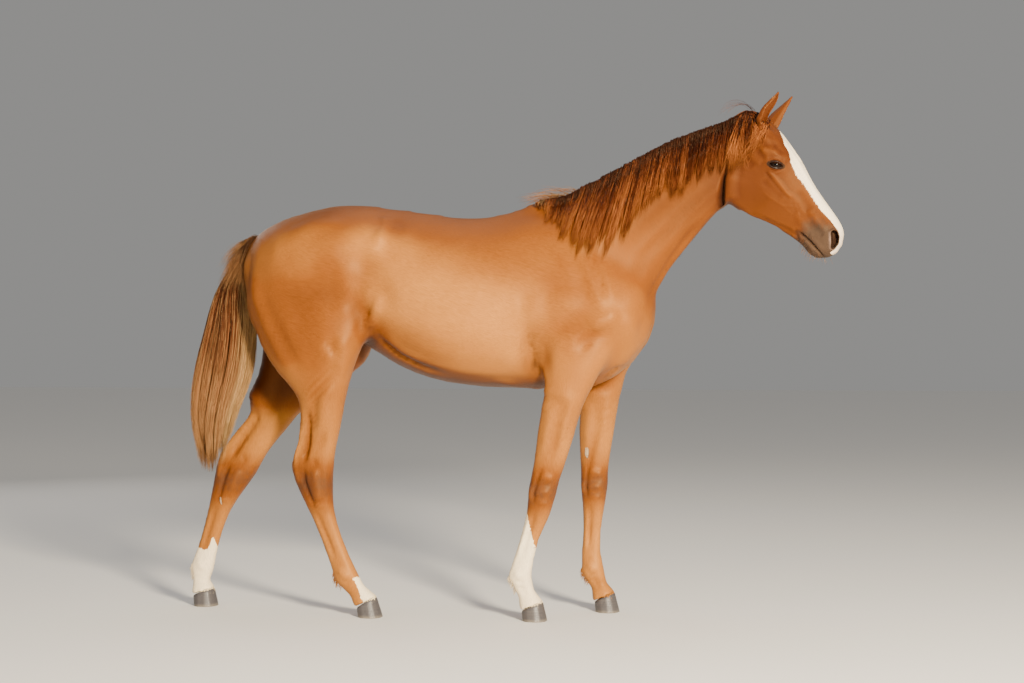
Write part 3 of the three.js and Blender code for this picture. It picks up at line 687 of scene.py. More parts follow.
def shapeLids(clay):
    # the skin is drawn over the eyeball, opened along the lids' edges and creased above and below them
    d = lidDetails
    radius, reach, edges = headDetails["eyeRadius"], d["reach"], edgesOf(clay.mesh)
    for side in (-1, 1):
        centre, across, above, gaze = eyeAxes(side)
        axes = np.stack([across, above, gaze])
        local = (toHead(clay.places) - centre) @ axes.T
        flat = np.hypot(local[:, 0], local[:, 1])
        part = (flat < reach) & (np.abs(local[:, 2]) < 0.035)
        loose = np.where(part, fall(flat, 0.75 * reach, 0.98 * reach), 0.0)[:, None]
        for step in range(d["rounds"]):
            local = local + (averaged(local, edges, len(local)) - local) * loose * 0.9
        a, b, c = local[part].T
        flat = np.hypot(a, b)
        terms = np.stack([np.ones(len(a)), a, b, a * a, a * b, b * b], 1)
        smooth = fitted(terms, c, flat > 0.8 * reach)
        base = c + (smooth - c) * fall(flat, 0.72 * reach, 0.95 * reach)
        target = overBall(base, flat, radius + d["thickness"], d["softness"])
        inside = np.minimum(lidEdge(a, True) - b, b - lidEdge(a, False))
        inside = np.where(np.abs(a) < d["halfLength"], inside, -1)
        sunk = np.sqrt(np.clip((radius - d["sunk"]) ** 2 - flat ** 2, 0, None))
        target = target + (sunk - target) * ramp(inside, -0.0006, 0.001)
        for upper, off, width, height, middle, low, high in d["folds"]:
            fold = hump(b - lidEdge(a, upper), off, width) * fall(np.abs(a - middle), low, high)
            target = target + height * fold
        local[part, 2] = target
        clay.places[part] = fromHead(local[part] @ axes + centre)
    clay.settle()


nostrilDetails = {
    "line": [(0.525, 0.0235), (0.5385, 0.019), (0.551, 0.0095), (0.561, -0.0035)],
    "halfWidths": (0.0124, 0.0146, 0.0134, 0.0086),
    "reach": 0.055,
    "wall": 0.0048,
    "depth": 0.029,
    "inwards": (-0.35, 1.0, 0.0),
    "rim": 0.0042,
    "rimWidth": 0.0046,
}


def fromNostril(clay, side):
    # which points are near a nostril, and how far each lies outside its edge
    line = clay.drawn(side, nostrilDetails["line"], 0.002)[:, :3]
    touched = np.flatnonzero(np.linalg.norm(clay.places - line.mean(0), axis=1) < nostrilDetails["reach"])
    apart, nearest = nearestOn(line, clay.places[touched])
    halfWidths = np.interp(nearest / (len(line) - 1), np.linspace(0, 1, 4), nostrilDetails["halfWidths"])
    return touched, apart - halfWidths


def openNostrils(clay):
    # the rims are raised, then the openings pushed in; what lies inside is remembered, to be painted dark:
    # dark skin and painted shade
    d = nostrilDetails
    clay.inNostril, clay.onRim = np.zeros((2, len(clay.places)))
    for side, way in (("rightCheek", 1), ("leftCheek", -1)):
        touched, outside = fromNostril(clay, side)
        rim = hump(outside, 0.001, d["rimWidth"]) * d["rim"]
        inwards = unit(np.array(d["inwards"]) * (1, way, 1)) @ headFrame
        inside = ramp(-outside, 0, d["wall"])
        clay.places[touched] += clay.normals[touched] * rim[:, None] + np.outer(inside * d["depth"], inwards)
        clay.inNostril[touched] = np.maximum(clay.inNostril[touched], ramp(-outside, -0.0006, 0.002))
        head = toHead(clay.places[touched])
        behind = ramp(0.012 - head[:, 2], -0.012, 0.012) * (0.4 + 0.6 * ramp(0.555 - head[:, 0], 0, 0.02))
        clay.onRim[touched] = np.maximum(clay.onRim[touched], hump(outside, 0.003, 0.0036) * behind)
    clay.settle()


cheekDetails = {
    # along the crease between cheek and neck: the place down the face and out of the brow, half width, depth
    "crease": [(0.112, -0.166, 0.004, 0.004), (0.139, -0.192, 0.005, 0.012), (0.154, -0.209, 0.006, 0.02),
               (0.17, -0.223, 0.007, 0.026), (0.192, -0.241, 0.008, 0.03), (0.208, -0.255, 0.01, 0.032),
               (0.225, -0.266, 0.011, 0.03), (0.244, -0.28, 0.012, 0.028)],
    # how far the cheek stands out beside the crease, how soon it does, and how far on it has sunk back
    "bulge": (0.0095, 0.008, 0.13),
    "acrossCrease": (0.656, 0.754),
    "middle": (0.214, -0.155),
    "reach": (0.135, 0.112),
    "jaw": [(0.235, -0.24), (0.3, -0.205), (0.36, -0.165), (0.43, -0.12)],
}


# places in the head's axes and how far round each the faces are made smaller, once and then once more
refiningDetails = {
    "once": [(headDetails["eye"], 0.04), ((0.54, 0.04, 0.014), 0.044),
             *[((along, 0.04, -0.06), 0.02) for along in (0.47, 0.5, 0.53, 0.56)],
             *[((along, 0.07, out), 0.024) for along, out, half, deep in cheekDetails["crease"][1:]]],
    "again": [(headDetails["eye"], 0.031), ((0.54, 0.04, 0.014), 0.034)],
}


def refiningSpots(table):
    return [(fromHead(np.array(place) * (1, side, 1)), reach) for place, reach in table for side in (-1, 1)]


def besideCrease(places):
    # how far each point is from the crease, above zero on the cheek's side, and the crease's sizes there
    line = np.array(cheekDetails["crease"])
    fine = resampled(line, 0.002)
    head = toHead(places)
    flat = head[:, [0, 2]]
    near = np.flatnonzero(np.linalg.norm(flat - line[4, :2], axis=1) < 0.16)
    apart, nearest = nearestOn(fine[:, :2], flat[near])
    side = np.sign((flat[near] - fine[nearest, :2]) @ cheekDetails["acrossCrease"])
    return near, head[near], apart * side, fine[nearest, 2], fine[nearest, 3]


def creaseBehindCheek(clay):
    near, head, apart, half, deep = besideCrease(clay.places)
    turned = clay.normals[near] @ headFrame.T
    sideways = ramp(np.abs(turned[:, 1]), 0.15, 0.5) * np.sign(head[:, 1])
    height, rise, reach = cheekDetails["bulge"]
    bulge = height * (1 - np.exp(-np.clip(apart, 0, None) / rise)) * fall(apart, 0, reach)
    away = np.linalg.norm(head[:, [0, 2]] - cheekDetails["crease"][4][:2], axis=1)
    bulge *= ramp(deep, 0.004, 0.02) * fall(away, 0.1, 0.155)
    head[:, 1] += sideways * (bulge - hump(apart, 0, half) * deep)
    clay.places[near] = fromHead(head)
    clay.settle()


def roundCheeks(clay):
    # each cheek drawn onto one rounded form, and the line of the jaw smoothed
    head = toHead(clay.places)
    turned = clay.normals @ headFrame.T
    near, local, apart, half, deep = besideCrease(clay.places)
    onNeck = np.zeros(len(head), dtype=bool)
    onNeck[near[apart < 0.002]] = True
    middle, reach = cheekDetails["middle"], cheekDetails["reach"]
    away = np.hypot((head[:, 0] - middle[0]) / reach[0], (head[:, 2] - middle[1]) / reach[1])
    for side in (-1, 1):
        facing = turned[:, 1] * side
        part = np.flatnonzero((away < 1) & (facing > 0.25) & (head[:, 1] * side > 0.02) & ~onNeck)
        u, v, y = head[part, 0] - middle[0], head[part, 2] - middle[1], head[part, 1] * side
        smooth = fitted(np.stack([np.ones(len(u)), u, v, u * u, u * v, v * v, u ** 3, v ** 3], 1), y)
        share = 0.9 * fall(away[part], 0.65, 1.0) * ramp(facing[part], 0.25, 0.6)
        head[part, 1] = (y + (smooth - y) * share) * side
    loose = fall(away, 0.9, 1.15) * ramp(np.abs(turned[:, 1]), 0.15, 0.5) * ~onNeck
    loose[near] *= ramp(apart, 0.004, 0.016)
    clay.places = smoothed(fromHead(head), edgesOf(clay.mesh), 50, loose, hold=-0.15)
    smoothJaw(clay, 30)
    clay.refresh()


def smoothJaw(clay, rounds):
    apart, nearest = nearestOn(resampled(cheekDetails["jaw"], 0.004), toHead(clay.places)[:, [0, 2]])
    clay.places = smoothed(clay.places, edgesOf(clay.mesh), rounds, fall(apart, 0.01, 0.026), hold=-0.3)
    clay.settle()


earDetails = {
    # how far the tip moves, how much wider it gets behind and before its middle, how narrow it gets low down
    "ear_right": ((0.0, 0.0, 0.002), 0.013, 0.001, 0.56),
    "ear_left": ((0.015, 0.0, 0.004), 0.019, 0.004, 1.0),
}
earWay = np.array(zoomDetails["growing"][0][0])


def earShares(name, places):
    # how far up the ear each point lies, how far behind its middle line, and how surely it is on the ear
    up = unit(earWay)
    solid = placesOf(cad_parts[name].data)
    along = solid @ up
    tip, root = solid[along.argmax()], solid[along < np.quantile(along, 0.25)].mean(0)
    share = np.clip((places @ up - root @ up) / ((tip - root) @ up), 0, 1.05)
    aside = places - (root + np.outer(share, tip - root))
    aside = aside - np.outer(aside @ up, up)
    return share, -aside[:, 0], (share > 0) * fall(np.linalg.norm(aside, axis=1), 0.045, 0.06)


def shapeEars(clay):
    for name, (lean, behind, before, narrow) in earDetails.items():
        share, rear, onEar = earShares(name, clay.places)
        wider = before * ramp(-rear, 0, 0.018) - behind * ramp(rear, 0, 0.018)
        clay.places += np.outer(onEar * share ** 2, lean)
        clay.places[:, 0] += onEar * np.sin(np.pi * share ** 0.8) * wider
        share, rear, onEar = earShares(name, clay.places)
        levels = np.linspace(0.02, 0.98, 13)
        rearmost = [rear[(np.abs(share - level) < 0.05) & (onEar > 0.9)].max() for level in levels]
        slimmer = (1 - narrow) * ramp(share, 0.0, 0.2) * fall(share, 0.38, 0.95)
        clay.places[:, 0] -= onEar * slimmer * (np.interp(share, levels, rearmost) - rear)
    clay.settle()


def sculptHead(clay):
    roundCheeks(clay)
    shapeEars(clay)
    clay.refresh()
    for look, radius, height, path in headForms.values():
        sharp = radius < strokeDetails["sharpBelow"]
        clay.stroke(look, radius, height, path, sharp, strokeDetails["headFade"])
    smoothJaw(clay, 12)
    creaseBehindCheek(clay)
    openNostrils(clay)
    shapeLids(clay)


blazeDetails = {
    "middle": 0.004,
    "halves": [(0.098, 0.0), (0.125, 0.03), (0.16, 0.052), (0.193, 0.053), (0.215, 0.06), (0.232, 0.066),
               (0.257, 0.061), (0.281, 0.057), (0.312, 0.05), (0.347, 0.046), (0.407, 0.042), (0.462, 0.04),
               (0.5, 0.041), (0.53, 0.038), (0.56, 0.034), (0.64, 0.03)],
    "farShare": 0.86,
    "lowest": -0.024,
}

toneDetails = {
    "back": 0.5,
    "head": 0.92,
    "neck": 0.25,
    "knees": 1.2,
    "kneesBare": 0.4,
    "lowerLegs": -0.42,
    "belly": -0.3,
    # painted shade under the belly, as deeper tone and as darkness
    "underside": 0.85,
    "undersideShade": 0.45,
    "thigh": 0.4,
    # painted shade inside the thighs
    "innerThighShade": 1.3,
    # painted shade in the crease behind the cheek
    "creaseShade": 0.85,
    # where the bare muzzle starts: how far out of the brow's plane, and how far down the face
    "muzzle": [(-0.1, 0.466), (-0.08, 0.452), (-0.05, 0.432), (-0.015, 0.438), (0.012, 0.463), (0.034, 0.492),
               (0.055, 0.53)],
    # tones painted on: from where, how wide, which tone, the path, and how far it fades at the path's ends;
    # paler strokes are painted highlight, deeper ones painted shade
    "toned": [
        # painted highlight behind the shoulder
        ("sides", 0.1, -0.15, [(0.1, 1.15), (0.2, 1.1)]),
        # painted shade over the hip bone
        ("sides", 0.08, 0.5, [(-0.36, 1.45), (-0.4, 1.4), (-0.43, 1.34)]),
        # painted shade along the back of the thigh
        ("sides", 0.06, 0.38, [(-0.905, 1.2), (-0.87, 1.12), (-0.83, 1.04), (-0.78, 0.95)]),
        # painted highlight along the barrel
        ("sides", 0.24, -0.85, [(-0.33, 1.19), (-0.15, 1.12), (0.02, 1.06)], 0.3),
        # painted highlight on the flank
        ("sides", 0.16, -0.75, [(-0.45, 1.33), (-0.4, 1.3), (-0.4, 1.18)]),
    ],
    # darkness painted as shade in the creases of the mouth, chin, elbow, breast, flank and belly: from where,
    # how wide, how dark, the path, and how far it fades at the path's ends
    "shadedCreases": [
        ("cheeks", 0.011, 0.5, [(0.446, -0.09), (0.458, -0.084)]),
        ("cheeks", 0.018, 0.35, [(0.47, -0.104), (0.5, -0.1)]),
        ("cheeks", 0.005, 0.8, [(0.462, -0.078), (0.504, -0.062), (0.558, -0.053), (0.582, -0.05)]),
        ("sides", 0.008, 0.65, [(0.114, 0.975), (0.122, 0.93), (0.136, 0.868), (0.14, 0.855)], 0.5),
        ("sides", 0.006, 0.4, [(0.35, 0.846), (0.372, 0.87), (0.405, 0.892), (0.44, 0.92)], 0.4),
        ("sides", 0.005, 0.3, [(0.356, 0.867), (0.392, 0.888), (0.42, 0.906)], 0.4),
        ("sides", 0.006, 0.35, [(-0.452, 1.08), (-0.47, 1.05), (-0.48, 1.03)], 0.4),
        ("sides", 0.007, 0.45, [(-0.44, 1.01), (-0.4, 0.968), (-0.33, 0.92), (-0.24, 0.886)], 0.4),
    ],
}


def unwrapped(skin):
    # the unwrap is made on the enlarged shape, so that the head and legs get more of the map
    real = placesOf(skin.data)
    moveTo(skin.data, zoomed(real))
    skin.data.uv_layers.new(name="OFBake")
    bpy.ops.object.select_all(action="DESELECT")
    skin.select_set(True)
    bpy.context.view_layer.objects.active = skin
    bpy.ops.object.mode_set(mode="EDIT")
    bpy.ops.mesh.select_all(action="SELECT")
    bpy.ops.uv.smart_project(angle_limit=math.radians(66), island_margin=0.001)
    bpy.ops.object.mode_set(mode="OBJECT")
    moveTo(skin.data, real)


def blazeField(head):
    # how far inside the blaze's edge each point lies
    s, y, t = head.T
    keys = blazeDetails["halves"]
    half = np.where(s < keys[0][0], -0.02, through(s, keys))
    aside = y - blazeDetails["middle"]
    half = np.where(aside > 0, half * blazeDetails["farShare"], half)
    lowest = np.where(s < 0.47, -0.02, blazeDetails["lowest"])
    return np.minimum(half - np.abs(aside), t - lowest)


def sockField(places):
    # how far inside a stocking's or sock's edge each point lies
    x, y, z = places.T
    fore, right = x > -0.3, y < 0
    stocking = np.minimum(0.385 - 4.4 * (x - 0.1), 0.45) - z
    peak = 0.205 + 0.06 * hump(x, -1.124, 0.014) * (y < 0.105) - 0.01 * (x + 1.14) / 0.03
    front = np.minimum(0.145 - z, (x + 0.535 + (z - 0.142) * 0.45) * 0.8)
    return np.select([fore & right, ~fore & ~right, ~fore & right],
                     [np.maximum(stocking * 0.22, 0.235 - z), peak - z, front], -1.0)


def underneath(clay, lean, low, high, middle, reach):
    # the underside of the barrel, as far as reach before and behind its middle
    x, y, z = clay.places.T
    down = ramp(-clay.normals[:, 2] - lean * ramp(x, -0.35, 0.0), low, high)
    return down * ramp(reach - np.abs(x - middle), 0, 0.15) * ramp(z, 0.8, 0.84)


def toneOf(clay, onHead, legs, knees):
    # how much deeper (above zero) or paler the coat is painted than its own chestnut: partly its own tones,
    # partly painted shade under the belly and inside the thighs, and painted highlight and shade in the
    # strokes
    d, places = toneDetails, clay.places
    x, side, z = places.T
    s, y, t = toHead(places).T
    # the head's darker tone starts at the crease behind the cheek
    across, out = cheekDetails["acrossCrease"]
    headTone = np.maximum(onHead, ramp(s * across + t * out, -0.062, -0.034) * ramp(s, 0.06, 0.14))
    tone = d["back"] * ramp(z - 0.25 * np.abs(side), 1.28, 1.5) * (1 - onHead)
    tone += d["head"] * headTone
    tone += d["neck"] * ramp(places @ headwards, 1.02, 1.2) * (1 - headTone)
    tone += d["belly"] * ramp(1.15 - z, 0, 0.25) * (1 - legs) * (1 - onHead)
    tone += d["lowerLegs"] * legs
    # painted shade under the belly
    tone += d["underside"] * underneath(clay, 0.1, 0.62, 0.88, -0.2, 0.6) * (1 - onHead)
    # painted shade inside the thighs, where one thigh shadows the other
    innerThighShade = ramp(-clay.normals[:, 1] * np.sign(side), 0.0, 0.5) * ramp(-x, 0.45, 0.55)
    tone += d["innerThighShade"] * innerThighShade * ramp(z, 0.7, 0.82) * fall(z, 1.05, 1.2)
    tone += d["knees"] * knees(0.08)
    tone += d["thigh"] * np.exp(-((x + 0.78) / 0.17) ** 2 - ((z - 1.03) / 0.17) ** 2) * (1 - innerThighShade)
    # the strokes of painted highlight and painted shade
    for stroke in d["toned"]:
        clay.paint(tone, *stroke)
    return tone


def bareAndDark(clay, head, onHead, knees):
    # where the hair is thin (muzzle, nostril rims, knees, eyelids) and where it is painted dark: dark skin
    # round the eyes, dark skin and painted shade inside the nostrils, painted shade in the creases and under
    # the belly
    s, y, t = head.T
    bare = ramp(s - through(t, toneDetails["muzzle"]), -0.045, 0.06) * onHead
    bare = np.maximum(np.maximum(bare, 0.8 * clay.onRim), toneDetails["kneesBare"] * knees(0.06))
    # inside the nostrils: dark skin and painted shade
    dark = clay.inNostril.copy()
    half = lidDetails["halfLength"] - 0.001
    for side in (-1, 1):
        centre, across, above, gaze = eyeAxes(side)
        local = head - centre
        a, b = local @ across, local @ above
        ring = np.maximum(lidEdge(a, False) - b, b - lidEdge(a, True))
        ring = np.where(np.abs(a) < half, ring, np.hypot(np.abs(a) - half, b))
        ring = ring - 0.0045 * ramp(np.abs(a), 0.01, 0.026)
        close = np.linalg.norm(local, axis=1) < 0.04
        bare = np.where(close, np.maximum(bare, fall(ring, 0.0025, 0.006)), bare)
        dark = np.where(close, np.maximum(dark, 0.97 - 0.97 * ramp(ring, 0.0026, 0.0068)), dark)
    # painted shade in the creases
    for stroke in toneDetails["shadedCreases"]:
        clay.paint(dark, *stroke)
    # painted shade in the crease behind the cheek
    near, local, apart, half, deep = besideCrease(clay.places)
    gap = hump(apart, 0, half * 1.25) * ramp(deep, 0.004, 0.02) * (np.abs(local[:, 1]) > 0.02)
    dark[near] = np.maximum(dark[near], toneDetails["creaseShade"] * gap)
    # painted shadow along the underside of the belly
    under = underneath(clay, 0.05, 0.66, 0.92, -0.15, 0.45)
    return bare, np.maximum(dark, toneDetails["undersideShade"] * under)


def hollowsOf(clay, onHead, legs):
    # hollows above zero and ridges below it, over wider runs on the body than on the head; the coat is
    # painted darker in the hollows as shade and paler on the ridges as highlight
    edges, many = edgesOf(clay.mesh), len(clay.places)
    around = averaged(smoothed(clay.places, edges, 2, 1.0), edges, many) - clay.places
    runs = [np.einsum("ij,ij->i", around, clay.normals)]
    for step in range(9):
        runs.append(averaged(runs[-1][:, None], edges, many)[:, 0])
    hollow = runs[3] + (1.25 * runs[9] - runs[3]) * (1 - onHead)
    return np.clip(hollow * 2500, -1, 1) * (0.45 + 0.45 * onHead + 0.65 * legs)


def carried(clay):
    # what the skin hands on to its own material and to the hair that stands on it
    places = clay.places
    x, y, z = places.T
    head = toHead(places)
    onHead, legs = ramp(places @ headwards, 1.44, 1.56), ramp(0.92 - z, 0, 0.45)
    middle = np.where(x > -0.3, 0.455, 0.465)

    def knees(reach):
        return hump(z - middle, 0.01, reach) * (z < 0.75)

    bare, dark = bareAndDark(clay, head, onHead, knees)
    blaze = blazeField(head) * (1 + 1.4 * ramp(head[:, 0], 0.33, 0.42))
    for name, values in {
        "white": np.where(onHead > 0.5, blaze, sockField(places)),
        "tone": toneOf(clay, onHead, legs, knees),
        "bare": bare,
        "rim": clay.onRim,
        "hollow": hollowsOf(clay, onHead, legs),
        # dark skin round the eyes, and painted shade in the nostrils, creases and under the belly
        "dark": dark,
        "onHead": onHead,
        "onNeck": ramp(places @ headwards, 1.02, 1.2) * (1 - onHead),
        "onLegs": ramp(1.0 - z, 0, 0.2),
    }.items():
        setAttribute(clay.mesh, name, values)


lookDetails = {
    "chestnut": (0.196, 0.055, 0.0072),
    "deep": (0.076, 0.0178, 0.0042),
    "pale": (0.43, 0.172, 0.034),
    "white": (0.92, 0.8, 0.59),
    "sock": (0.92, 0.76, 0.47),
    "bareGrey": (0.046, 0.035, 0.027),
    "barePink": (0.56, 0.3, 0.24),
    "nostrilRim": (0.42, 0.27, 0.2),
    # dark skin round the eyes, and painted shade in the nostrils, creases and under the belly
    "inside": (0.015, 0.006, 0.005),
    # how the fine hair is turned on each part, and how it is stretched
    "grain": {
        "body": ((0, -20, 0), (30, 420, 420)),
        "onNeck": ((0, -58, 0), (34, 440, 440)),
        "onLegs": ((0, -90, 0), (40, 480, 480)),
        "onHead": ((0, -120, 12), (60, 620, 620)),
    },
    "shine": {"Specular IOR Level": 0.26, "Specular Tint": (1.0, 0.62, 0.28), "Sheen Weight": 0.03,
              "Sheen Roughness": 0.4, "Sheen Tint": (1.0, 0.7, 0.4)},
}


class Nodes:
    # a tree of shader nodes, and short ways to add to it

    def __init__(self, tree):
        self.tree = tree

    def add(self, kind, inputs=None, **settings):
        node = self.tree.nodes.new("ShaderNode" + kind)
        for name, value in settings.items():
            setattr(node, name, value)
        for name, value in (inputs or {}).items():
            self.feed(node.inputs[name], value)
        return node.outputs

    def feed(self, socket, value):
        if isinstance(value, bpy.types.NodeSocket):
            self.tree.links.new(value, socket)
        elif isinstance(value, tuple) and len(value) == 3 and socket.type == "RGBA":
            socket.default_value = (*value, 1)
        else:
            socket.default_value = value

    def attribute(self, name):
        return self.add("Attribute", attribute_name=name)["Fac"]

    def place(self):
        return self.add("TexCoord")["Object"]

    def math(self, operation, first, second=0.0, clamp=False):
        return self.add("Math", {0: first, 1: second}, operation=operation, use_clamp=clamp)[0]

    def plus(self, first, second, clamp=False):
        return self.math("ADD", first, second, clamp)

    def times(self, first, second, clamp=False):
        return self.math("MULTIPLY", first, second, clamp)

    def mix(self, factor, first, second, kind="MIX"):
        # sockets 6 and 7 hold the two colours, and output 2 the mixed one
        return self.add("Mix", {0: factor, 6: first, 7: second}, data_type="RGBA", blend_type=kind)[2]

    def between(self, value, low, high, toLow=0.0, toHigh=1.0):
        return self.add("MapRange", {"Value": value, "From Min": low, "From Max": high, "To Min": toLow,
                                     "To Max": toHigh})[0]

    def noise(self, vector, scale, detail=2.0, roughness=0.5):
        return self.add("TexNoise", {"Vector": vector, "Scale": scale, "Detail": detail,
                                     "Roughness": roughness})["Fac"]

    def streaks(self, vector, stretch, detail=3.0, roughness=0.5, scale=1.0):
        stretched = self.add("Mapping", {"Vector": vector, "Scale": stretch})[0]
        return self.noise(stretched, scale, detail, roughness)

    def surface(self, values):
        for name, value in values.items():
            self.feed(self.tree.nodes["Principled BSDF"].inputs[name], value)

    def raised(self, height, strength, distance):
        bump = self.add("Bump", {"Strength": strength, "Distance": distance, "Height": height})
        self.surface({"Normal": bump[0]})


def newGroup(name, inputs, outputs):
    tree = bpy.data.node_groups.new(name, "ShaderNodeTree")
    for label, value in inputs.items():
        kind = "Color" if isinstance(value, tuple) else "Float"
        socket = tree.interface.new_socket(label, in_out="INPUT", socket_type="NodeSocket" + kind)
        socket.default_value = (*value, 1) if kind == "Color" else value
    for label, kind in outputs.items():
        tree.interface.new_socket(label, in_out="OUTPUT", socket_type="NodeSocket" + kind)
    return Nodes(tree), tree.nodes.new("NodeGroupInput").outputs, tree.nodes.new("NodeGroupOutput").inputs


def hairGrainGroup():
    # fine hairs lying back on the body, down on the legs and along the face
    n, given, out = newGroup("hair grain", {"Fineness": 1.0}, {"Grain": "Float"})
    place = n.place()
    sway = n.times(n.noise(place, 6.0, 1.0), 0.03)
    shift = n.add("CombineXYZ", {"Y": sway, "Z": sway})[0]
    grain = None
    for name, (turn, stretch) in lookDetails["grain"].items():
        turned = n.add("Mapping", {"Vector": place, "Rotation": [math.radians(angle) for angle in turn]})[0]
        shifted = n.add("VectorMath", {0: turned, 1: shift}, operation="ADD")[0]
        streaks = n.streaks(shifted, stretch, 3.0, 0.6, given["Fineness"])
        if grain is None:
            grain = streaks
        else:
            weight = n.attribute(name)
            grain = n.plus(n.times(grain, n.math("SUBTRACT", 1.0, weight)), n.times(streaks, weight))
    n.feed(out["Grain"], grain)
    return n.tree


def coatColourGroup(grainGroup):
    d = lookDetails
    n, given, out = newGroup("coat colour", {
        "Chestnut": d["chestnut"], "Deep": d["deep"], "Pale": d["pale"], "White": d["white"],
        "Bare grey": d["bareGrey"], "Bare pink": d["barePink"], "Bareness": 1.0, "Strand": 0.0},
        {"Colour": "Color", "White mask": "Float", "Bare mask": "Float", "Grain": "Float"})
    place = n.place()
    grain = n.add("Group", node_tree=grainGroup)["Grain"]
    clouds = n.noise(place, 3.2, 3.0)
    tone = n.plus(n.attribute("tone"), n.between(clouds, 0.3, 0.7, -0.22, 0.22))
    # painted shade in the hollows and painted highlight on the ridges
    tone = n.plus(tone, n.times(n.attribute("hollow"), 0.35))
    colour = n.mix(n.times(tone, 1.0, True), given["Chestnut"], given["Deep"])
    colour = n.mix(n.times(tone, -1.0, True), colour, given["Pale"])
    uneven = n.between(n.noise(place, 90.0, 4.0, 0.6), 0.2, 0.8, -0.0019, 0.0019)
    uneven = n.times(uneven, n.plus(1.0, n.times(n.attribute("onLegs"), 1.8)))
    ragged = n.plus(n.attribute("white"), uneven)
    ragged = n.plus(ragged, n.between(grain, 0.3, 0.7, -0.0016, 0.0016))
    whiteMask = n.between(ragged, -0.0007, 0.0007)
    freckled = n.mix(n.between(clouds, 0.35, 0.75, 0.0, 0.25), given["White"], d["barePink"])
    freckled = n.mix(n.times(n.attribute("onLegs"), 0.45), freckled, d["sock"])
    colour = n.mix(whiteMask, colour, freckled)
    bareness = n.plus(n.attribute("bare"), n.between(n.noise(place, 60.0, 4.0), 0.2, 0.8, -0.22, 0.22))
    bareMask = n.times(n.between(bareness, 0.2, 0.9), given["Bareness"])
    skinColour = n.mix(n.times(whiteMask, 0.85), given["Bare grey"], given["Bare pink"])
    bareShare = n.times(bareMask, n.math("SUBTRACT", 1.0, n.times(whiteMask, 0.72)))
    colour = n.mix(n.times(bareShare, 0.82), colour, skinColour)
    colour = n.mix(n.times(n.attribute("rim"), 0.58), colour, d["nostrilRim"])
    # dark skin round the eyes, and painted shade in the nostrils, creases and under the belly
    colour = n.mix(n.attribute("dark"), colour, d["inside"])
    shade = n.plus(n.between(grain, 0.25, 0.75, 0.8, 1.2), given["Strand"])
    # the hollows painted darker still as shade, on the white too
    shade = n.math("SUBTRACT", shade, n.between(n.attribute("hollow"), 0.0, 1.0, 0.0, 0.18))
    shade = n.add("CombineColor", {"Red": shade, "Green": shade, "Blue": shade})[0]
    for name, value in {"Colour": n.mix(1.0, colour, shade, "MULTIPLY"), "White mask": whiteMask,
                        "Bare mask": bareMask, "Grain": grain}.items():
        n.feed(out[name], value)
    return n.tree


def newMaterial(name):
    look = bpy.data.materials.new(name)
    look.use_nodes = True
    return look, Nodes(look.node_tree)


def coatGlossGroup():
    # glossy on the barrel and quarters, duller on the neck and head
    n, given, out = newGroup("coat gloss", {"Grain": 0.5, "Low": 0.36, "High": 0.52}, {"Roughness": "Float"})
    rough = n.between(given["Grain"], 0.3, 0.7, given["Low"], given["High"])
    duller = n.times(n.plus(n.attribute("onNeck"), n.attribute("onHead")), 0.12)
    n.feed(out["Roughness"], n.plus(rough, duller))
    return n.tree


def skinLook(colourGroup, glossGroup):
    look, n = newMaterial("coat")
    coat = n.add("Group", node_tree=colourGroup)
    gloss = n.add("Group", {"Grain": coat["Grain"]}, node_tree=glossGroup)
    rough = n.plus(gloss["Roughness"], n.times(coat["Bare mask"], 0.1))
    n.surface({"Base Color": coat["Colour"], "Roughness": rough, **lookDetails["shine"]})
    pores = n.noise(n.place(), 420.0, 3.0, 0.6)
    n.raised(n.plus(coat["Grain"], n.times(n.times(pores, coat["Bare mask"]), 0.8)), 0.55, 0.0009)
    return look


def furLook(colourGroup, glossGroup):
    look, n = newMaterial("coat tufts")
    strand = n.attribute("strand")
    coat = n.add("Group", {"Strand": n.between(strand, 0.0, 1.0, -0.1, 0.16), "Bareness": 0.75},
                 node_tree=colourGroup)
    gloss = n.add("Group", {"Grain": strand, "Low": 0.38}, node_tree=glossGroup)
    n.surface({"Base Color": coat["Colour"], "Roughness": gloss["Roughness"], **lookDetails["shine"]})
    return look


def strandGroup():
    # long hair: each lock its own shade from dark to light, paler towards the tip
    n, given, out = newGroup("strand colour", {
        "Dark": (0.02, 0.004, 0.0015), "Middle": (0.102, 0.022, 0.006), "Light": (0.33, 0.102, 0.024),
        "Straw": (0.52, 0.31, 0.125), "Straw tips": 0.0}, {"Colour": "Color", "Shade": "Float"})
    along = n.attribute("along")
    fine = n.streaks(n.place(), (420, 420, 9), 3.0, 0.6)
    shade = n.plus(n.attribute("strand"), n.between(fine, 0.25, 0.75, -0.24, 0.24))
    shade = n.plus(shade, n.between(along, 0.1, 0.85, -0.56, 0.42), True)
    colour = n.mix(n.between(shade, 0.0, 0.45), given["Dark"], given["Middle"])
    colour = n.mix(n.between(shade, 0.45, 1.0), colour, given["Light"])
    tips = n.times(n.between(along, 0.35, 0.95), given["Straw tips"])
    n.feed(out["Colour"], n.mix(n.plus(n.attribute("straw"), tips, True), colour, given["Straw"]))
    n.feed(out["Shade"], shade)
    return n.tree


def strandLook(name, group, colours, roughness=(0.34, 0.5)):
    look, n = newMaterial(name)
    strands = n.add("Group", colours, node_tree=group)
    rough = n.plus(n.between(strands["Shade"], 0.0, 1.0, *roughness),
                   n.between(n.attribute("along"), 0.05, 0.35, 0.4, 0.0))
    n.surface({"Base Color": strands["Colour"], "Roughness": rough, "Specular IOR Level": 0.2,
               "Specular Tint": (1.0, 0.72, 0.46)})
    return look


patchSize = 0.003


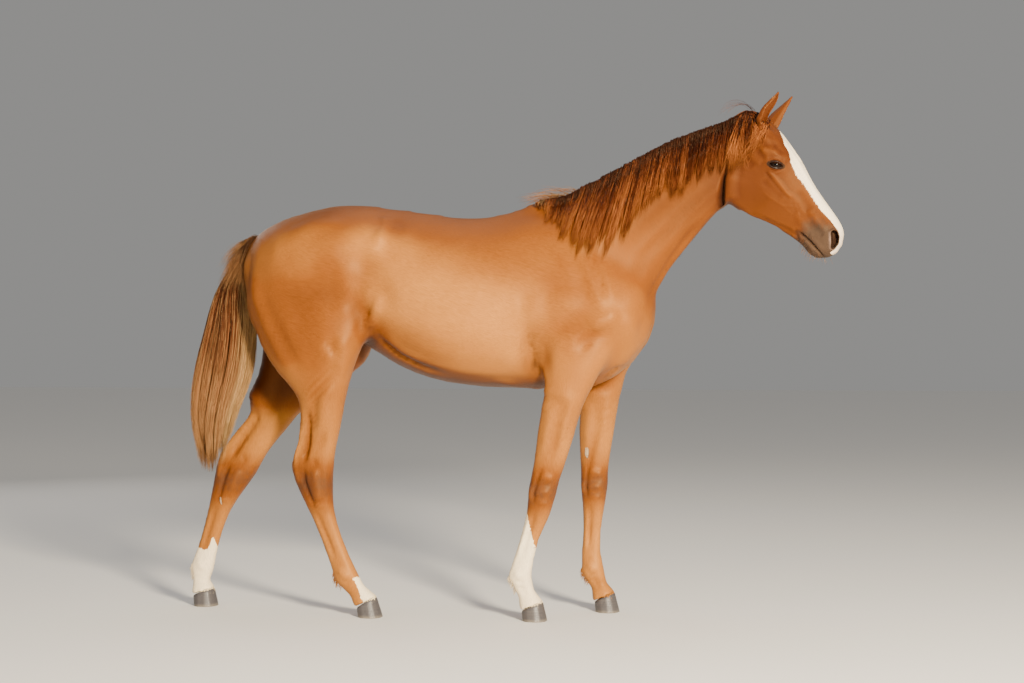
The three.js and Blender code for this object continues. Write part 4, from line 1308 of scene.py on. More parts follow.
def bladeShape(rings):
    # a blade along Z, closed at the root and the tip: how far along each point is, and how far across and out
    bm = bmesh.new()
    bmesh.ops.create_circle(bm, cap_ends=True, segments=3, radius=0.5)
    face = bm.faces[:][0]
    for ring in range(rings):
        grown = bmesh.ops.extrude_face_region(bm, geom=[face])
        tops = [item for item in grown["geom"] if isinstance(item, bmesh.types.BMVert)]
        face = next(item for item in grown["geom"] if isinstance(item, bmesh.types.BMFace))
        bmesh.ops.translate(bm, verts=tops, vec=(0, 0, 1))
    bmesh.ops.pointmerge(bm, verts=tops, merge_co=(0, 0, rings))
    bmesh.ops.recalc_face_normals(bm, faces=bm.faces)
    bmesh.ops.triangulate(bm, faces=bm.faces)
    bm.verts.index_update()
    places = np.array([vert.co for vert in bm.verts])
    faces = np.array([[vert.index for vert in item.verts] for item in bm.faces])
    bm.free()
    return {"level": np.rint(places[:, 2]).astype(int), "across": places[:, 1], "out": places[:, 0] + 0.25,
            "faces": faces, "rings": rings, "thickness": 0.3}


def planted(name, look, blade, guides, sideways, outwards, widths, thickness, rootUv, values, faced=None):
    # guides: one line of points for each lock; sideways and outwards: the way the blade's width and back face
    many, perBlade = len(guides), len(blade["level"])
    level, steps = blade["level"], blade["rings"]
    spread = widths[:, level, None] * blade["across"][None, :, None]
    raised = thickness * widths[:, level, None] * blade["out"][None, :, None]
    points = guides[:, level] + sideways[:, level] * spread + outwards[:, level] * raised
    faces = (blade["faces"][None] + (np.arange(many) * perBlade)[:, None, None]).reshape(-1, 3)
    mesh = bpy.data.meshes.new(name)
    mesh.vertices.add(many * perBlade)
    moveTo(mesh, points.reshape(-1, 3))
    mesh.loops.add(faces.size)
    mesh.loops.foreach_set("vertex_index", faces.ravel().astype(np.int32))
    mesh.polygons.add(len(faces))
    mesh.polygons.foreach_set("loop_start", np.arange(0, faces.size, 3, dtype=np.int32))
    mesh.update(calc_edges=True)
    patch = rootUv[:, None] + patchSize * np.stack([blade["across"], level / steps - 0.5], 1)[None]
    layer = mesh.uv_layers.new(name="OFBake")
    layer.data.foreach_set("uv", patch.reshape(-1, 2)[faces.ravel()].astype(np.float32).ravel())
    setAttribute(mesh, "along", np.tile(level / steps, many))
    for key, value in values.items():
        setAttribute(mesh, key, np.repeat(value, perBlade))
    mesh.shade_smooth()
    mesh.materials.append(look)
    if faced is not None:
        mesh.normals_split_custom_set_from_vertices(np.repeat(faced, perBlade, axis=0).astype(np.float32))
    return newObject(name, mesh)


class Hide:
    # the finished skin as hair sees it: where roots can be, and what the skin carries there

    def __init__(self, clay):
        mesh = clay.mesh
        mesh.calc_loop_triangles()
        triangles = mesh.loop_triangles
        self.corners = readFrom(triangles, "vertices", 3, np.int64)
        self.uv = readFrom(mesh.uv_layers["OFBake"].data, "uv", 2)[readFrom(triangles, "loops", 3, np.int64)]
        self.places, self.normals, self.tree = clay.places, clay.normals, clay.tree
        polygons = readFrom(triangles, "polygon_index", 1, np.int64)
        self.firstTriangle = np.full(len(mesh.polygons), -1)
        self.firstTriangle[polygons[::-1]] = np.arange(len(triangles))[::-1]
        self.values = {name: readFrom(mesh.attributes[name].data, "value", 1, np.float32) for name in (
            "white", "tone", "bare", "rim", "dark", "hollow", "onHead", "onNeck", "onLegs")}

    def roots(self, many, weight):
        # random roots, as many to the area as weight (one value for each skin point) says
        a, b, c = (self.places[self.corners[:, k]] for k in range(3))
        area = np.linalg.norm(np.cross(b - a, c - a), axis=1) * weight[self.corners].mean(1)
        picked = dice.choice(len(area), many, p=area / area.sum())
        first, second = dice.random((2, many))
        folded = first + second > 1
        first[folded], second[folded] = 1 - first[folded], 1 - second[folded]
        return self.at(picked, np.stack([1 - first - second, first, second], 1))

    def at(self, picked, shares):
        corners = self.corners[picked]
        place = np.einsum("ijk,ij->ik", self.places[corners], shares)
        normal = unit(np.einsum("ijk,ij->ik", self.normals[corners], shares))
        uv = np.einsum("ijk,ij->ik", self.uv[picked], shares)
        values = {name: (layer[corners] * shares).sum(1) for name, layer in self.values.items()}
        return place, normal, uv, values

    def nearest(self, places):
        picked = np.array([self.firstTriangle[self.tree.find_nearest(Vector(place))[2]] for place in places])
        return self.at(picked, np.full((len(picked), 3), 1 / 3))


def lieOfTheCoat(places, normals):
    # the way the hair lies: back over the body, down on neck and legs, and along the face
    x, y, z = places.T
    s, side, t = toHead(places).T
    onHead = ramp(places @ headwards, 1.42, 1.54)
    onNeck, onLegs = ramp(places @ headwards, 0.98, 1.16), ramp(0.98 - z, 0, 0.2)
    onBody = 1 - np.clip(onNeck + onLegs + onHead, 0, 1)
    faceWay, cheekWay = headFrame[0] - headFrame[2] * 0.25, headFrame[0] * 0.3 - headFrame[2] * 0.9
    onCheek = (ramp(-t, 0.04, 0.14) * ramp(0.4 - s, 0, 0.15))[:, None]
    upFace = (ramp(0.16 - s, 0, 0.06) * ramp(t, 0.0, 0.02))[:, None]
    headWay = (faceWay * (1 - onCheek) + cheekWay * onCheek) * (1 - 2 * upFace)
    way = (np.outer(onBody, (-0.92, 0, -0.38)) + np.outer(onNeck * (1 - onHead), (-0.45, 0, -0.9))
           + np.outer(onLegs, (0, 0, -1.0)) + onHead[:, None] * headWay)
    wander = np.stack([np.sin(z * 9 + 1.3), np.sin(x * 7), np.sin(x * 8 + 2)], 1)
    way = unit(way) + wander * 0.12
    return unit(way - normals * np.einsum("ij,ij->i", way, normals)[:, None])


furDetails = {
    "pieces": 3,
    "tufts": 17400,
    "rings": 2,
    "length": {"body": 0.015, "onNeck": 0.015, "onLegs": 0.0095, "onHead": 0.0062},
    "width": {"body": 0.002, "onNeck": 0.002, "onLegs": 0.0014, "onHead": 0.0011},
    "lift": 0.045,
    "thickness": 0.07,
}


def furDensity(values):
    density = 1.0 + 1.2 * values["onLegs"] + 3.0 * values["onHead"]
    return density * (1 - 0.85 * np.clip(values["bare"], 0, 1)) * (1 - np.clip(values["dark"], 0, 1))


def byRegion(table, values):
    size = table["body"] * np.ones(len(values["onHead"]))
    for name in ("onNeck", "onLegs", "onHead"):
        size += (table[name] - size) * np.clip(values[name], 0, 1)
    return size


def coatOfFur(hide, look):
    f = furDetails
    blade, along = bladeShape(f["rings"]), np.linspace(0, 1, f["rings"] + 1)
    density = furDensity(hide.values)
    pieces = []
    for number in range(f["pieces"]):
        place, normal, uv, values = hide.roots(f["tufts"], density)
        many = len(place)
        length = byRegion(f["length"], values) * dice.uniform(0.7, 1.25, many)
        width = byRegion(f["width"], values) * dice.uniform(0.75, 1.25, many)
        way = lieOfTheCoat(place, normal)
        way = unit(way + np.cross(normal, way) * dice.normal(0, 0.1, many)[:, None])
        rise = f["lift"] * dice.uniform(0.3, 1.3, many)
        guides = (place[:, None] + way[:, None] * (length[:, None] * along)[..., None]
                  + normal[:, None] * ((length * rise)[:, None] * along ** 1.2 - 0.0003)[..., None])
        sides = (np.repeat(face[:, None], len(along), 1) for face in (np.cross(way, normal), normal))
        values["strand"] = dice.random(many)
        pieces.append(planted("coat_tufts_%d" % (number + 1), look, blade, guides, *sides,
                              width[:, None] * np.array([0.7, 1.0, 0.0])[None], f["thickness"], uv, values,
                              faced=unit(normal + way * 0.1)))
    return pieces


def eyeball(side, look):
    radius = headDetails["eyeRadius"]
    centre, *axes = eyeAxes(side)
    bm = bmesh.new()
    bmesh.ops.create_uvsphere(bm, u_segments=48, v_segments=32, radius=radius)
    # the sphere's faces come in no fixed order, so they are put in one
    bm.verts.index_update()
    bm.faces.sort(key=lambda face: sum(vert.index ** 2 for vert in face.verts))
    mesh = meshOf("eyeball", bm)
    local = placesOf(mesh)
    flat = (local[:, :2] / radius)[readFrom(mesh.loops, "vertex_index", 1, np.int64)]
    mesh.uv_layers.new(name="gaze").data.foreach_set("uv", flat.astype(np.float32).ravel())
    setAttribute(mesh, "front", np.where(local[:, 2] > 0, 1.0, 0.0))
    polar = np.arccos(np.clip(local[:, 2] / radius, -1, 1))
    local = local * (1 + 0.06 * fall(polar, 0.25, 0.72))[:, None]
    moveTo(mesh, fromHead(centre + local @ np.array(axes)))
    if side < 0:
        mesh.flip_normals()
    mesh.shade_smooth()
    mesh.materials.append(look)
    return newObject("eyeball_right" if side < 0 else "eyeball_left", mesh)


def eyeLook():
    look, n = newMaterial("eye")
    gaze = n.add("UVMap", uv_map="gaze")[0]
    across = n.add("SeparateXYZ", {0: gaze})
    around = n.add("VectorMath", {0: gaze}, operation="LENGTH")["Value"]
    pupilSize = (0.33, 0.17)
    wide, tall = (n.math("POWER", n.math("DIVIDE", across[k], pupilSize[k]), 2.0) for k in (0, 1))
    pupil = n.math("SQRT", n.plus(wide, tall))
    rays = n.streaks(gaze, (14, 14, 14), 4.0, 0.7)
    iris = n.mix(rays, (0.003, 0.002, 0.001), (0.014, 0.006, 0.003))
    iris = n.mix(n.between(around, 0.56, 0.7), iris, (0.006, 0.003, 0.002))
    colour = n.mix(n.between(pupil, 0.92, 1.06), (0.001, 0.001, 0.002), iris)
    colour = n.mix(n.between(around, 0.86, 0.94), colour, (0.024, 0.012, 0.01))
    n.surface({"Base Color": colour, "Roughness": 0.04, "Specular IOR Level": 0.12})
    return look


def lidRim(side, look):
    # the dark bare edge of both lids, a thin tube round the opening
    turns = np.linspace(0, 2 * np.pi, 56, endpoint=False)
    a = lidDetails["halfLength"] * np.cos(turns)
    b = np.where(np.sin(turns) >= 0, lidEdge(a, True), lidEdge(a, False))
    line = overEyeball(side, a, b, 0.0012)
    middle = fromHead(eyeAxes(side)[0])
    bm = bmesh.new()
    rings = []
    for index, place in enumerate(line):
        ahead = unit(line[(index + 1) % len(line)] - line[index - 1])
        outward = unit(place - middle)
        turn = Matrix((np.cross(outward, ahead), outward, ahead)).transposed().to_4x4()
        ring = bmesh.ops.create_circle(bm, segments=8, radius=lidDetails["rimRadius"],
                                       matrix=Matrix.Translation(place) @ turn)
        rings.append(ring["verts"])
    for first, second in zip(rings, rings[1:] + rings[:1]):
        edges = {edge for ring in (first, second) for vert in ring for edge in vert.link_edges
                 if edge.other_vert(vert) in ring}
        bmesh.ops.bridge_loops(bm, edges=list(edges))
    bmesh.ops.recalc_face_normals(bm, faces=bm.faces)
    mesh = meshOf("lid", bm)
    mesh.shade_smooth()
    mesh.materials.append(look)
    return newObject("lid_rim_right" if side < 0 else "lid_rim_left", mesh)


def rimLook():
    look, n = newMaterial("lid rim")
    place = n.place()
    colour = n.mix(n.noise(place, 300.0, 3.0), (0.018, 0.011, 0.01), (0.05, 0.032, 0.028))
    n.surface({"Base Color": colour, "Roughness": n.between(n.noise(place, 500.0), 0.3, 0.7, 0.22, 0.42)})
    return look


hornDetails = {
    "hooves": ["fore_hoof_right", "fore_hoof_left", "hind_hoof_right", "hind_hoof_left"],
    "voxel": 0.0024,
    "rounds": 44,
    "heel": 0.014,
    "slope": 0.006,
    "rings": (0.0085, 0.00018),  # how far apart and how high
    "chestnuts": [
        # which leg, share from its back to its front, height, half width, half height
        ("fore_leg_right", -0.5, 0.59, 0.009, 0.022), ("fore_leg_left", -0.5, 0.588, 0.009, 0.022),
        ("hind_leg_right", -0.05, 0.4, 0.005, 0.017), ("hind_leg_left", -0.05, 0.396, 0.005, 0.017),
    ],
}


def hoof(name, look):
    # its solid's own shape, made smooth, with its sole kept flat
    bm = bmesh.new()
    bm.from_mesh(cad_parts[name].data)
    bmesh.ops.remove_doubles(bm, verts=bm.verts, dist=0.00001)
    piece = remeshed(newObject("horn_" + name, meshOf(name, bm)), hornDetails["voxel"])
    mesh = piece.data
    places = placesOf(mesh)
    sole = places[:, 2] < 0.0012
    places = smoothed(places, edgesOf(mesh), hornDetails["rounds"], np.where(sole, 0.0, 1.0), hold=-0.25)
    low, high = places.min(0), places.max(0)
    rear = fall(places[:, 0], low[0], (low[0] + high[0]) / 2)
    places[:, 0] += rear * (1 - places[:, 2] / high[2]) * hornDetails["heel"]
    places[:, 2] -= rear * places[:, 2] / high[2] * hornDetails["slope"]
    apart, rise = hornDetails["rings"]
    rings = np.sin(places[:, 2] * 2 * np.pi / apart) * rise * ramp(places[:, 2], 0.004, 0.012)
    places = places + normalsOf(mesh) * rings[:, None] * (1, 1, 0)
    places[:, 2] = np.where(sole, 0.0, np.maximum(places[:, 2], 0.0))
    moveTo(mesh, places)
    mesh.shade_smooth()
    mesh.materials.clear()
    mesh.materials.append(look)
    return piece


def hornLook():
    look, n = newMaterial("hoof horn")
    place = n.place()
    fibres = n.streaks(place, (420, 420, 16))
    bands = n.streaks(place, (8, 8, 190), 2.0)
    height = n.add("SeparateXYZ", {0: place})[2]
    colour = n.mix(fibres, (0.04, 0.036, 0.04), (0.095, 0.085, 0.086))
    colour = n.mix(n.between(bands, 0.45, 0.75, 0.0, 0.4), colour, (0.125, 0.105, 0.095))
    colour = n.mix(n.between(height, 0.0, 0.012, 0.7, 0.0), colour, (0.24, 0.2, 0.15))
    n.surface({"Base Color": colour, "Roughness": n.between(fibres, 0.3, 0.7, 0.38, 0.58)})
    n.raised(n.plus(n.times(bands, 0.7), n.times(fibres, 0.3)), 0.5, 0.0012)
    return look


def chestnuts(clay, spans, look):
    # the horny patches inside the legs
    bm = bmesh.new()
    rims = []
    for leg, share, height, halfWidth, halfHeight in hornDetails["chestnuts"]:
        spot = clay.drawn(leg.split("_")[-1] + "Inside", alongLeg(spans[leg], [(share, height)]))[0]
        place, normal = Vector(spot[:3]), Vector(spot[3:])
        turn = normal.to_track_quat("Z", "Y").to_matrix().to_4x4()
        shape = Matrix.Translation(place) @ turn @ Matrix.Diagonal((halfWidth, halfHeight, 0.0035, 1))
        for vert in bmesh.ops.create_icosphere(bm, subdivisions=4, radius=1, matrix=shape)["verts"]:
            x, z, off = vert.co.x, vert.co.z, vert.co - place
            wide, tall = off.dot(turn.col[0].xyz) / halfWidth, off.dot(turn.col[1].xyz) / halfHeight
            knobs = math.sin(z * 900) * math.sin(x * 1300 + 1) + 0.8 * math.sin(z * 2300)
            ragged = 1 + 0.05 * math.sin(4 * math.atan2(wide, tall) + z * 60)
            vert.co = place + off * ragged + normal * (knobs * 0.0007 - 0.0006)
            rims.append(math.hypot(wide, tall))
    mesh = meshOf("chestnuts", bm)
    setAttribute(mesh, "edge", np.array(rims))
    mesh.shade_smooth()
    mesh.materials.append(look)
    return newObject("chestnuts", mesh)


def chestnutLook():
    look, n = newMaterial("chestnut horn")
    scales = n.noise(n.place(), 320.0, 4.0, 0.7)
    horn = n.mix(n.between(scales, 0.3, 0.7), (0.19, 0.105, 0.055), (0.64, 0.46, 0.28))
    edge = n.plus(n.attribute("edge"), n.between(scales, 0.3, 0.7, -0.12, 0.12))
    horn = n.mix(n.between(edge, 0.78, 1.02), horn, (0.09, 0.042, 0.02))
    n.surface({"Base Color": horn, "Roughness": n.between(scales, 0.3, 0.7, 0.6, 0.85)})
    n.raised(scales, 1.0, 0.002)
    return look


maneDetails = {
    "crest": [(0.118, 1.532), (0.193, 1.55), (0.255, 1.568), (0.346, 1.606), (0.437, 1.649), (0.527, 1.691),
              (0.617, 1.732), (0.707, 1.761), (0.796, 1.789), (0.862, 1.816), (0.9, 1.822)],
    "hem": [(0.05, 1.5), (0.11, 1.47), (0.15, 1.44), (0.203, 1.385), (0.231, 1.345), (0.282, 1.318),
            (0.339, 1.306), (0.4, 1.318), (0.436, 1.362), (0.476, 1.415), (0.518, 1.468), (0.565, 1.514),
            (0.636, 1.516), (0.671, 1.542), (0.71, 1.575), (0.753, 1.588), (0.795, 1.594), (0.852, 1.612),
            (0.885, 1.64)],
    "lean": [(0.12, 0.34), (0.4, 0.3), (0.65, 0.16), (0.88, 0.16)],
    "middle": [(0.1, 0.0), (0.45, -0.008), (0.9, -0.04)],
    "parting": 0.012,
    "lift": (0.003, 0.022),
    "sway": 0.005,
    "layers": [
        # how many locks, how wide, how far off the neck, how dark, how strongly gathered
        (3300, 0.0042, (0.002, 0.009), 0.08, 0.16),
        (2800, 0.0026, (0.005, 0.014), 0.3, 0.3),
        (2800, 0.0019, (0.008, 0.018), 0.46, 0.4),
    ],
    "rings": 6,
    "profile": [(0, 0.3), (0.15, 0.85), (0.6, 0.85), (0.85, 0.42), (1, 0)],
    "clumps": 88,
}


class NeckSide:
    # the right side of the neck as a height field over X and Z, for hair to lie on

    def __init__(self, tree):
        self.x, self.z = np.linspace(-0.05, 1.02, 130), np.linspace(1.2, 1.86, 84)
        self.field = np.zeros((len(self.x), len(self.z)))
        for row, x in zip(self.field, self.x):
            hits = [tree.ray_cast(Vector((x, -1, z)), Vector((0, 1, 0)))[0] for z in self.z]
            known = [j for j, hit in enumerate(hits) if hit is not None and hit.y < 0.03]
            if known:
                row[:] = np.interp(np.arange(len(row)), known, [hits[j].y for j in known])

    def at(self, x, z):
        u = np.clip((x - self.x[0]) / (self.x[1] - self.x[0]), 0, len(self.x) - 1.001)
        v = np.clip((z - self.z[0]) / (self.z[1] - self.z[0]), 0, len(self.z) - 1.001)
        i, j = u.astype(int), v.astype(int)
        u, v, f = u - i, v - j, self.field
        return (f[i, j] * (1 - u) * (1 - v) + f[i + 1, j] * u * (1 - v) + f[i, j + 1] * (1 - u) * v
                + f[i + 1, j + 1] * u * v)


def bladeSides(guides, outwards, twist=0.35):
    # across each blade, turned a little at random
    across = np.cross(unit(np.gradient(guides, axis=1)), outwards)
    return unit(across + outwards * dice.normal(0, twist, len(guides))[:, None, None])


def locks(name, hide, look, guides, sideways, outwards, widths, strand, straw):
    # locks of long hair, each with its own shade and its own share of straw
    blade, uv = bladeShape(guides.shape[1] - 1), hide.nearest(guides[:, 0])[2]
    return planted(name, look, blade, guides, sideways, outwards, widths, blade["thickness"], uv,
                   {"strand": np.clip(strand, 0, 1), "straw": np.clip(straw, 0, 1)})


def maneLayer(neckSide, hide, many, depths, gather, clumpX, longest):
    m = maneDetails
    t = np.linspace(0, 1, m["rings"] + 1)[None]
    rootX = dice.uniform(m["crest"][0][0], m["crest"][-1][0], many)
    clump = np.abs(rootX[:, None] - clumpX[None]).argmin(1)
    rootY = through(rootX, m["middle"]) + dice.uniform(-m["parting"], m["parting"], many)
    down = Vector((0, 0, -1))
    topZ = np.array([hide.tree.ray_cast(Vector((x, y, 3)), down)[0].z for x, y in zip(rootX, rootY)])
    share = dice.random(many)
    depth = depths[0] + (depths[1] - depths[0]) * share
    lift = np.clip(through(rootX, m["crest"]) - topZ, *m["lift"]) * dice.uniform(0.45, 0.85, many)
    lift = lift * (0.2 + 0.8 * ramp(rootX, 0.12, 0.24))
    slant = through(rootX, m["lean"])
    endX = rootX - 0.03
    for step in range(8):
        endZ = through(endX, m["hem"])
        endX = (endX + rootX - slant * (topZ - endZ)) / 2
    reach = longest - 0.62 * dice.random(many) ** 1.7
    reach = reach * (0.92 + 0.12 * np.sin(clump * 2.4) ** 2) * (0.45 + 0.55 * ramp(rootX, 0.11, 0.2))
    endX = endX + (clumpX[clump] - rootX) * gather + np.sin(clump * 5.1) * 0.012 + dice.normal(0, 0.003, many)
    endZ = topZ - (topZ - endZ) * reach
    endX = rootX + (endX - rootX) * reach
    sway = dice.normal(0, m["sway"], many)[:, None] * np.sin(t * np.pi * dice.uniform(1, 2, many)[:, None])
    x = rootX[:, None] + (endX - rootX)[:, None] * t ** 1.2 + sway * t
    drop = np.clip((t - 0.1) / 0.9, 0, 1)
    rise = np.sin(np.clip(t / 0.14, 0, 1) * np.pi / 2)
    z = topZ[:, None] - 0.01 + (lift[:, None] + 0.01) * rise - (topZ + lift - endZ)[:, None] * drop ** 1.1
    settle = ramp(topZ[:, None] - z, -0.012, 0.045)
    free = rootY[:, None] - 0.026 * np.clip(t / 0.22, 0, 1)
    off = depth[:, None] * np.clip(t * 5, 0, 1) * (1 - 0.65 * ramp(t, 0.55, 1.0))
    y = free + (neckSide.at(x, z) - free) * settle - off
    y = y - 0.005 * np.sin(t * np.pi) * dice.random(many)[:, None]
    guides = np.stack([x, y, z], 2)
    outwards = unit(np.stack([np.zeros_like(z), -np.ones_like(z), (1 - settle) * 1.3], 2))
    return guides, outwards, clump, rootX


def maneOfHair(hide, neckSide, look):
    m = maneDetails
    profile = through(np.linspace(0, 1, m["rings"] + 1), m["profile"])
    clumpX = np.sort(dice.uniform(m["crest"][0][0], m["crest"][-1][0], m["clumps"]))
    clumpShade = dice.normal(0, 0.2, m["clumps"])
    pieces = []
    for number, (many, width, depths, shade, gather) in enumerate(m["layers"]):
        longest = 0.92 + 0.09 * number
        guides, outwards, clump, rootX = maneLayer(neckSide, hide, many, depths, gather, clumpX, longest)
        widths = width * dice.uniform(0.55, 1.25, many)[:, None] * profile[None]
        strand = shade + dice.normal(0, 0.17, many) + clumpShade[clump] * 0.8 - 0.26 * ramp(rootX, 0.58, 0.72)
        withers = fall(rootX, 0.12, 0.18) * (dice.random(many) < 0.5)
        sideways = bladeSides(guides, outwards)
        straw = withers * dice.random(many) * 0.4
        name = "mane_locks_%d" % (number + 1)
        pieces.append(locks(name, hide, look, guides, sideways, outwards, widths, strand, straw))
    return pieces


def bent(points, along):
    # a smooth line through four control points, one line for each row
    t = along[None, :, None]
    a, b, c, d = (point[:, None, :] for point in points)
    return (1 - t) ** 3 * a + 3 * t * (1 - t) ** 2 * b + 3 * t * t * (1 - t) * c + t ** 3 * d


def kept(guides, tree, clearance):
    # each point put back outside the skin by its clearance
    flat = guides.reshape(-1, 3)
    clear = clearance.ravel()
    for index, place in enumerate(flat):
        spot, normal, face, distance = tree.find_nearest(Vector(place))
        if (Vector(place) - spot).dot(normal) < clear[index]:
            flat[index] = np.array(spot + normal * clear[index])
    return flat.reshape(guides.shape)


def bundle(name, hide, look, points, rings, width, clearance, shade, straw, away):
    # locks along smooth lines through points (four for each lock), kept off the skin, with the given colours
    along = np.linspace(0, 1, rings + 1)
    guides = bent(points, along)
    if clearance is not None:
        guides = kept(guides, hide.tree, clearance[:, None] * np.clip(along * 4, 0.0, 1)[None])
    outwards = unit(np.broadcast_to(np.asarray(away, dtype=float), guides.shape) + 0.0)
    profile = through(along, [(0, 0.7), (0.15, 1.0), (0.7, 0.7), (1, 0)])
    widths = width * dice.uniform(0.6, 1.3, len(guides))[:, None] * profile[None]
    return locks(name, hide, look, guides, bladeSides(guides, outwards), outwards, widths, shade, straw)


forelockDetails = {
    "locks": 460,
    "rings": 7,
    "width": 0.0022,
    "middle": (0.085, -0.078, 0.0),
    "ends": [(0.134, -0.086, -0.058), (0.126, -0.092, -0.085), (0.13, -0.094, -0.104),
             (0.148, -0.095, -0.126)],
}


def forelockOfHair(hide, look):
    f = forelockDetails
    many = f["locks"]
    along, aside = dice.uniform(-0.015, 0.045, many), dice.uniform(-0.045, 0.02, many)
    above = fromHead(np.stack([along, aside, np.full(many, 0.4)], 1))
    roots = np.array([hide.tree.ray_cast(Vector(place), Vector(-headFrame[2]))[0] for place in above])
    middle = fromHead(np.array(f["middle"]) + dice.normal(0, 0.01, (many, 3)))
    ends = np.array(f["ends"])[dice.integers(0, len(f["ends"]), many)] + dice.normal(0, 0.013, (many, 3))
    rise = roots + headFrame[2] * 0.022 + headFrame[0] * 0.018
    last = middle + (fromHead(ends) - middle) * dice.uniform(0.25, 1.25, many)[:, None]
    layer = dice.random(many)
    points = (roots - headFrame[2] * 0.006, rise, middle, last)
    return bundle("forelock_locks", hide, look, points, f["rings"], f["width"], 0.001 + 0.009 * layer,
                  0.32 + 0.3 * layer + dice.normal(0, 0.3, many),
                  np.zeros(many), headFrame[2] * 0.5 - headFrame[1] * 0.8)


wispDetails = {
    # name: how many, width, the four places a lock runs through, how far each strays, shade, straw
    "withers": (80, 0.0012, [(0.215, 0.0, 1.52), (0.185, -0.006, 1.532), (0.145, -0.014, 1.52),
                              (0.105, -0.024, 1.503)], (0.034, 0.014, 0.008), 0.66, 0.4),
    "withers_up": (36, 0.001, [(0.26, 0.0, 1.53), (0.232, -0.004, 1.556), (0.196, -0.008, 1.549),
                                (0.16, -0.012, 1.524)], (0.045, 0.012, 0.008), 0.7, 0.35),
    "poll_arc": (9, 0.0012, [(0.905, -0.036, 1.8), (0.88, -0.04, 1.868), (0.82, -0.05, 1.862),
                             (0.775, -0.056, 1.812)], (0.012, 0.008, 0.004), 0.25, 0.0),
    "behind_ear": (240, 0.0023, [(0.878, -0.048, 1.792), (0.866, -0.098, 1.772), (0.832, -0.11, 1.69),
                                 (0.838, -0.112, 1.618)], (0.018, 0.008, 0.012), 0.78, 0.0),
    "dock_fluff": (520, 0.0015, [(-0.925, 0.0, 1.352), (-0.952, 0.0, 1.38), (-0.996, 0.0, 1.342),
                                 (-1.03, 0.0, 1.272)], (0.024, 0.024, 0.012), 0.34, 0.16),
    "dock_sides": (520, 0.0018, [(-0.925, -0.022, 1.345), (-0.948, -0.04, 1.345), (-0.988, -0.046, 1.285),
                                 (-1.018, -0.044, 1.2)], (0.024, 0.01, 0.02), 0.18, 0.04),
    "dock_far": (420, 0.0018, [(-0.925, 0.022, 1.345), (-0.948, 0.04, 1.345), (-0.988, 0.046, 1.285),
                               (-1.018, 0.044, 1.2)], (0.024, 0.01, 0.02), 0.18, 0.04),
}


def wisps(hide, maneLook, tailLook):
    pieces = {}
    for name, (many, width, line, stray, shade, straw) in wispDetails.items():
        shift = dice.uniform(-1, 1, (many, 3)) * stray
        points = [np.array(place) + shift * (0.8 + 0.35 * step) + dice.normal(0, 0.0035 * step, (many, 3))
                  for step, place in enumerate(line)]
        away = (0, -1, 0.4) if line[-1][1] < 0 else (0, 1, 0.4) if line[-1][1] > 0 else (-0.6, 0, 0.8)
        isTail = name.startswith("dock")
        reach = 0.006 if "withers" in name else 0.012
        off = None if "arc" in name else 0.002 + reach * dice.random(many)
        pieces[name] = bundle(name + "_wisps", hide, tailLook if isTail else maneLook, points, 6, width, off,
                              shade + dice.normal(0, 0.16, many), straw * dice.random(many) * 1.4, away)
    return pieces


smallDetails = {
    "earHairs": 420,
    "lashes": 46,
    "whiskers": 90,
    "coronetHairs": 210,
    "fetlockHairs": 120,
}


def shortLocks(name, hide, look, roots, ways, lengths, width, bend, away, extra=None):
    # short locks from the given roots, bending by bend towards the floor; extra holds their own shade
    points = [roots + ways * (lengths * share)[:, None] + np.outer(lengths * share ** 2, (0, 0, -bend))
              for share in (0, 0.33, 0.67, 1.0)]
    guides = bent(points, np.linspace(0, 1, 4))
    outwards = unit(np.repeat(away[:, None], 4, 1))
    widths = width * dice.uniform(0.6, 1.3, len(roots))[:, None] * np.array([0.8, 1.0, 0.7, 0.0])[None]
    place, normal, uv, values = hide.nearest(roots)
    values = extra or dict(values, strand=dice.random(len(roots)))
    blade = bladeShape(3)
    return planted(name, look, blade, guides, bladeSides(guides, outwards, 0.3), outwards, widths,
                   blade["thickness"], uv, values)


def earHair(hide, look):
    pieces = []
    for name in earDetails:
        share, rear, onEar = earShares(name, hide.places)
        opening = unit(np.array((0.85, -0.45 if "right" in name else 0.3, -0.25)))
        front = ramp(hide.normals @ opening, 0.1, 0.6)
        weight = (onEar > 0.9) * front * ramp(share, 0.0, 0.08) * fall(share, 0.78, 0.9) + 1e-9
        place, normal, uv, values = hide.roots(smallDetails["earHairs"], weight)
        many = len(place)
        ways = unit(unit(earWay) + normal * dice.uniform(0.0, 0.35, many)[:, None])
        lengths = dice.uniform(0.007, 0.016, many)
        extra = {"strand": dice.uniform(0.75, 1.0, many), "straw": dice.uniform(0.1, 0.6, many)}
        roots = place - normal * 0.001
        name += "_hair"
        pieces.append(shortLocks(name, hide, look, roots, ways, lengths, 0.0012, 0.0, normal, extra))
    return pieces


def lashes(hide, look):
    pieces = []
    many = smallDetails["lashes"]
    extra = {"strand": np.zeros(many), "straw": np.zeros(many)}
    for side, name in ((-1, "lashes_right"), (1, "lashes_left")):
        a = dice.uniform(-0.015, 0.019, many)
        roots = overEyeball(side, a, lidEdge(a, True) + 0.0006, 0.0016)
        ahead, over, out = np.array(eyeAxes(side)[1:]) @ headFrame
        ways = unit(out + over * 0.05 + ahead * (a / 0.02)[:, None] * 0.5 + (0, 0, -0.35))
        pieces.append(shortLocks(name, hide, look, roots, ways, dice.uniform(0.01, 0.016, many), 0.0009, 0.1,
                                 np.repeat(over[None], many, 0), extra))
    return pieces


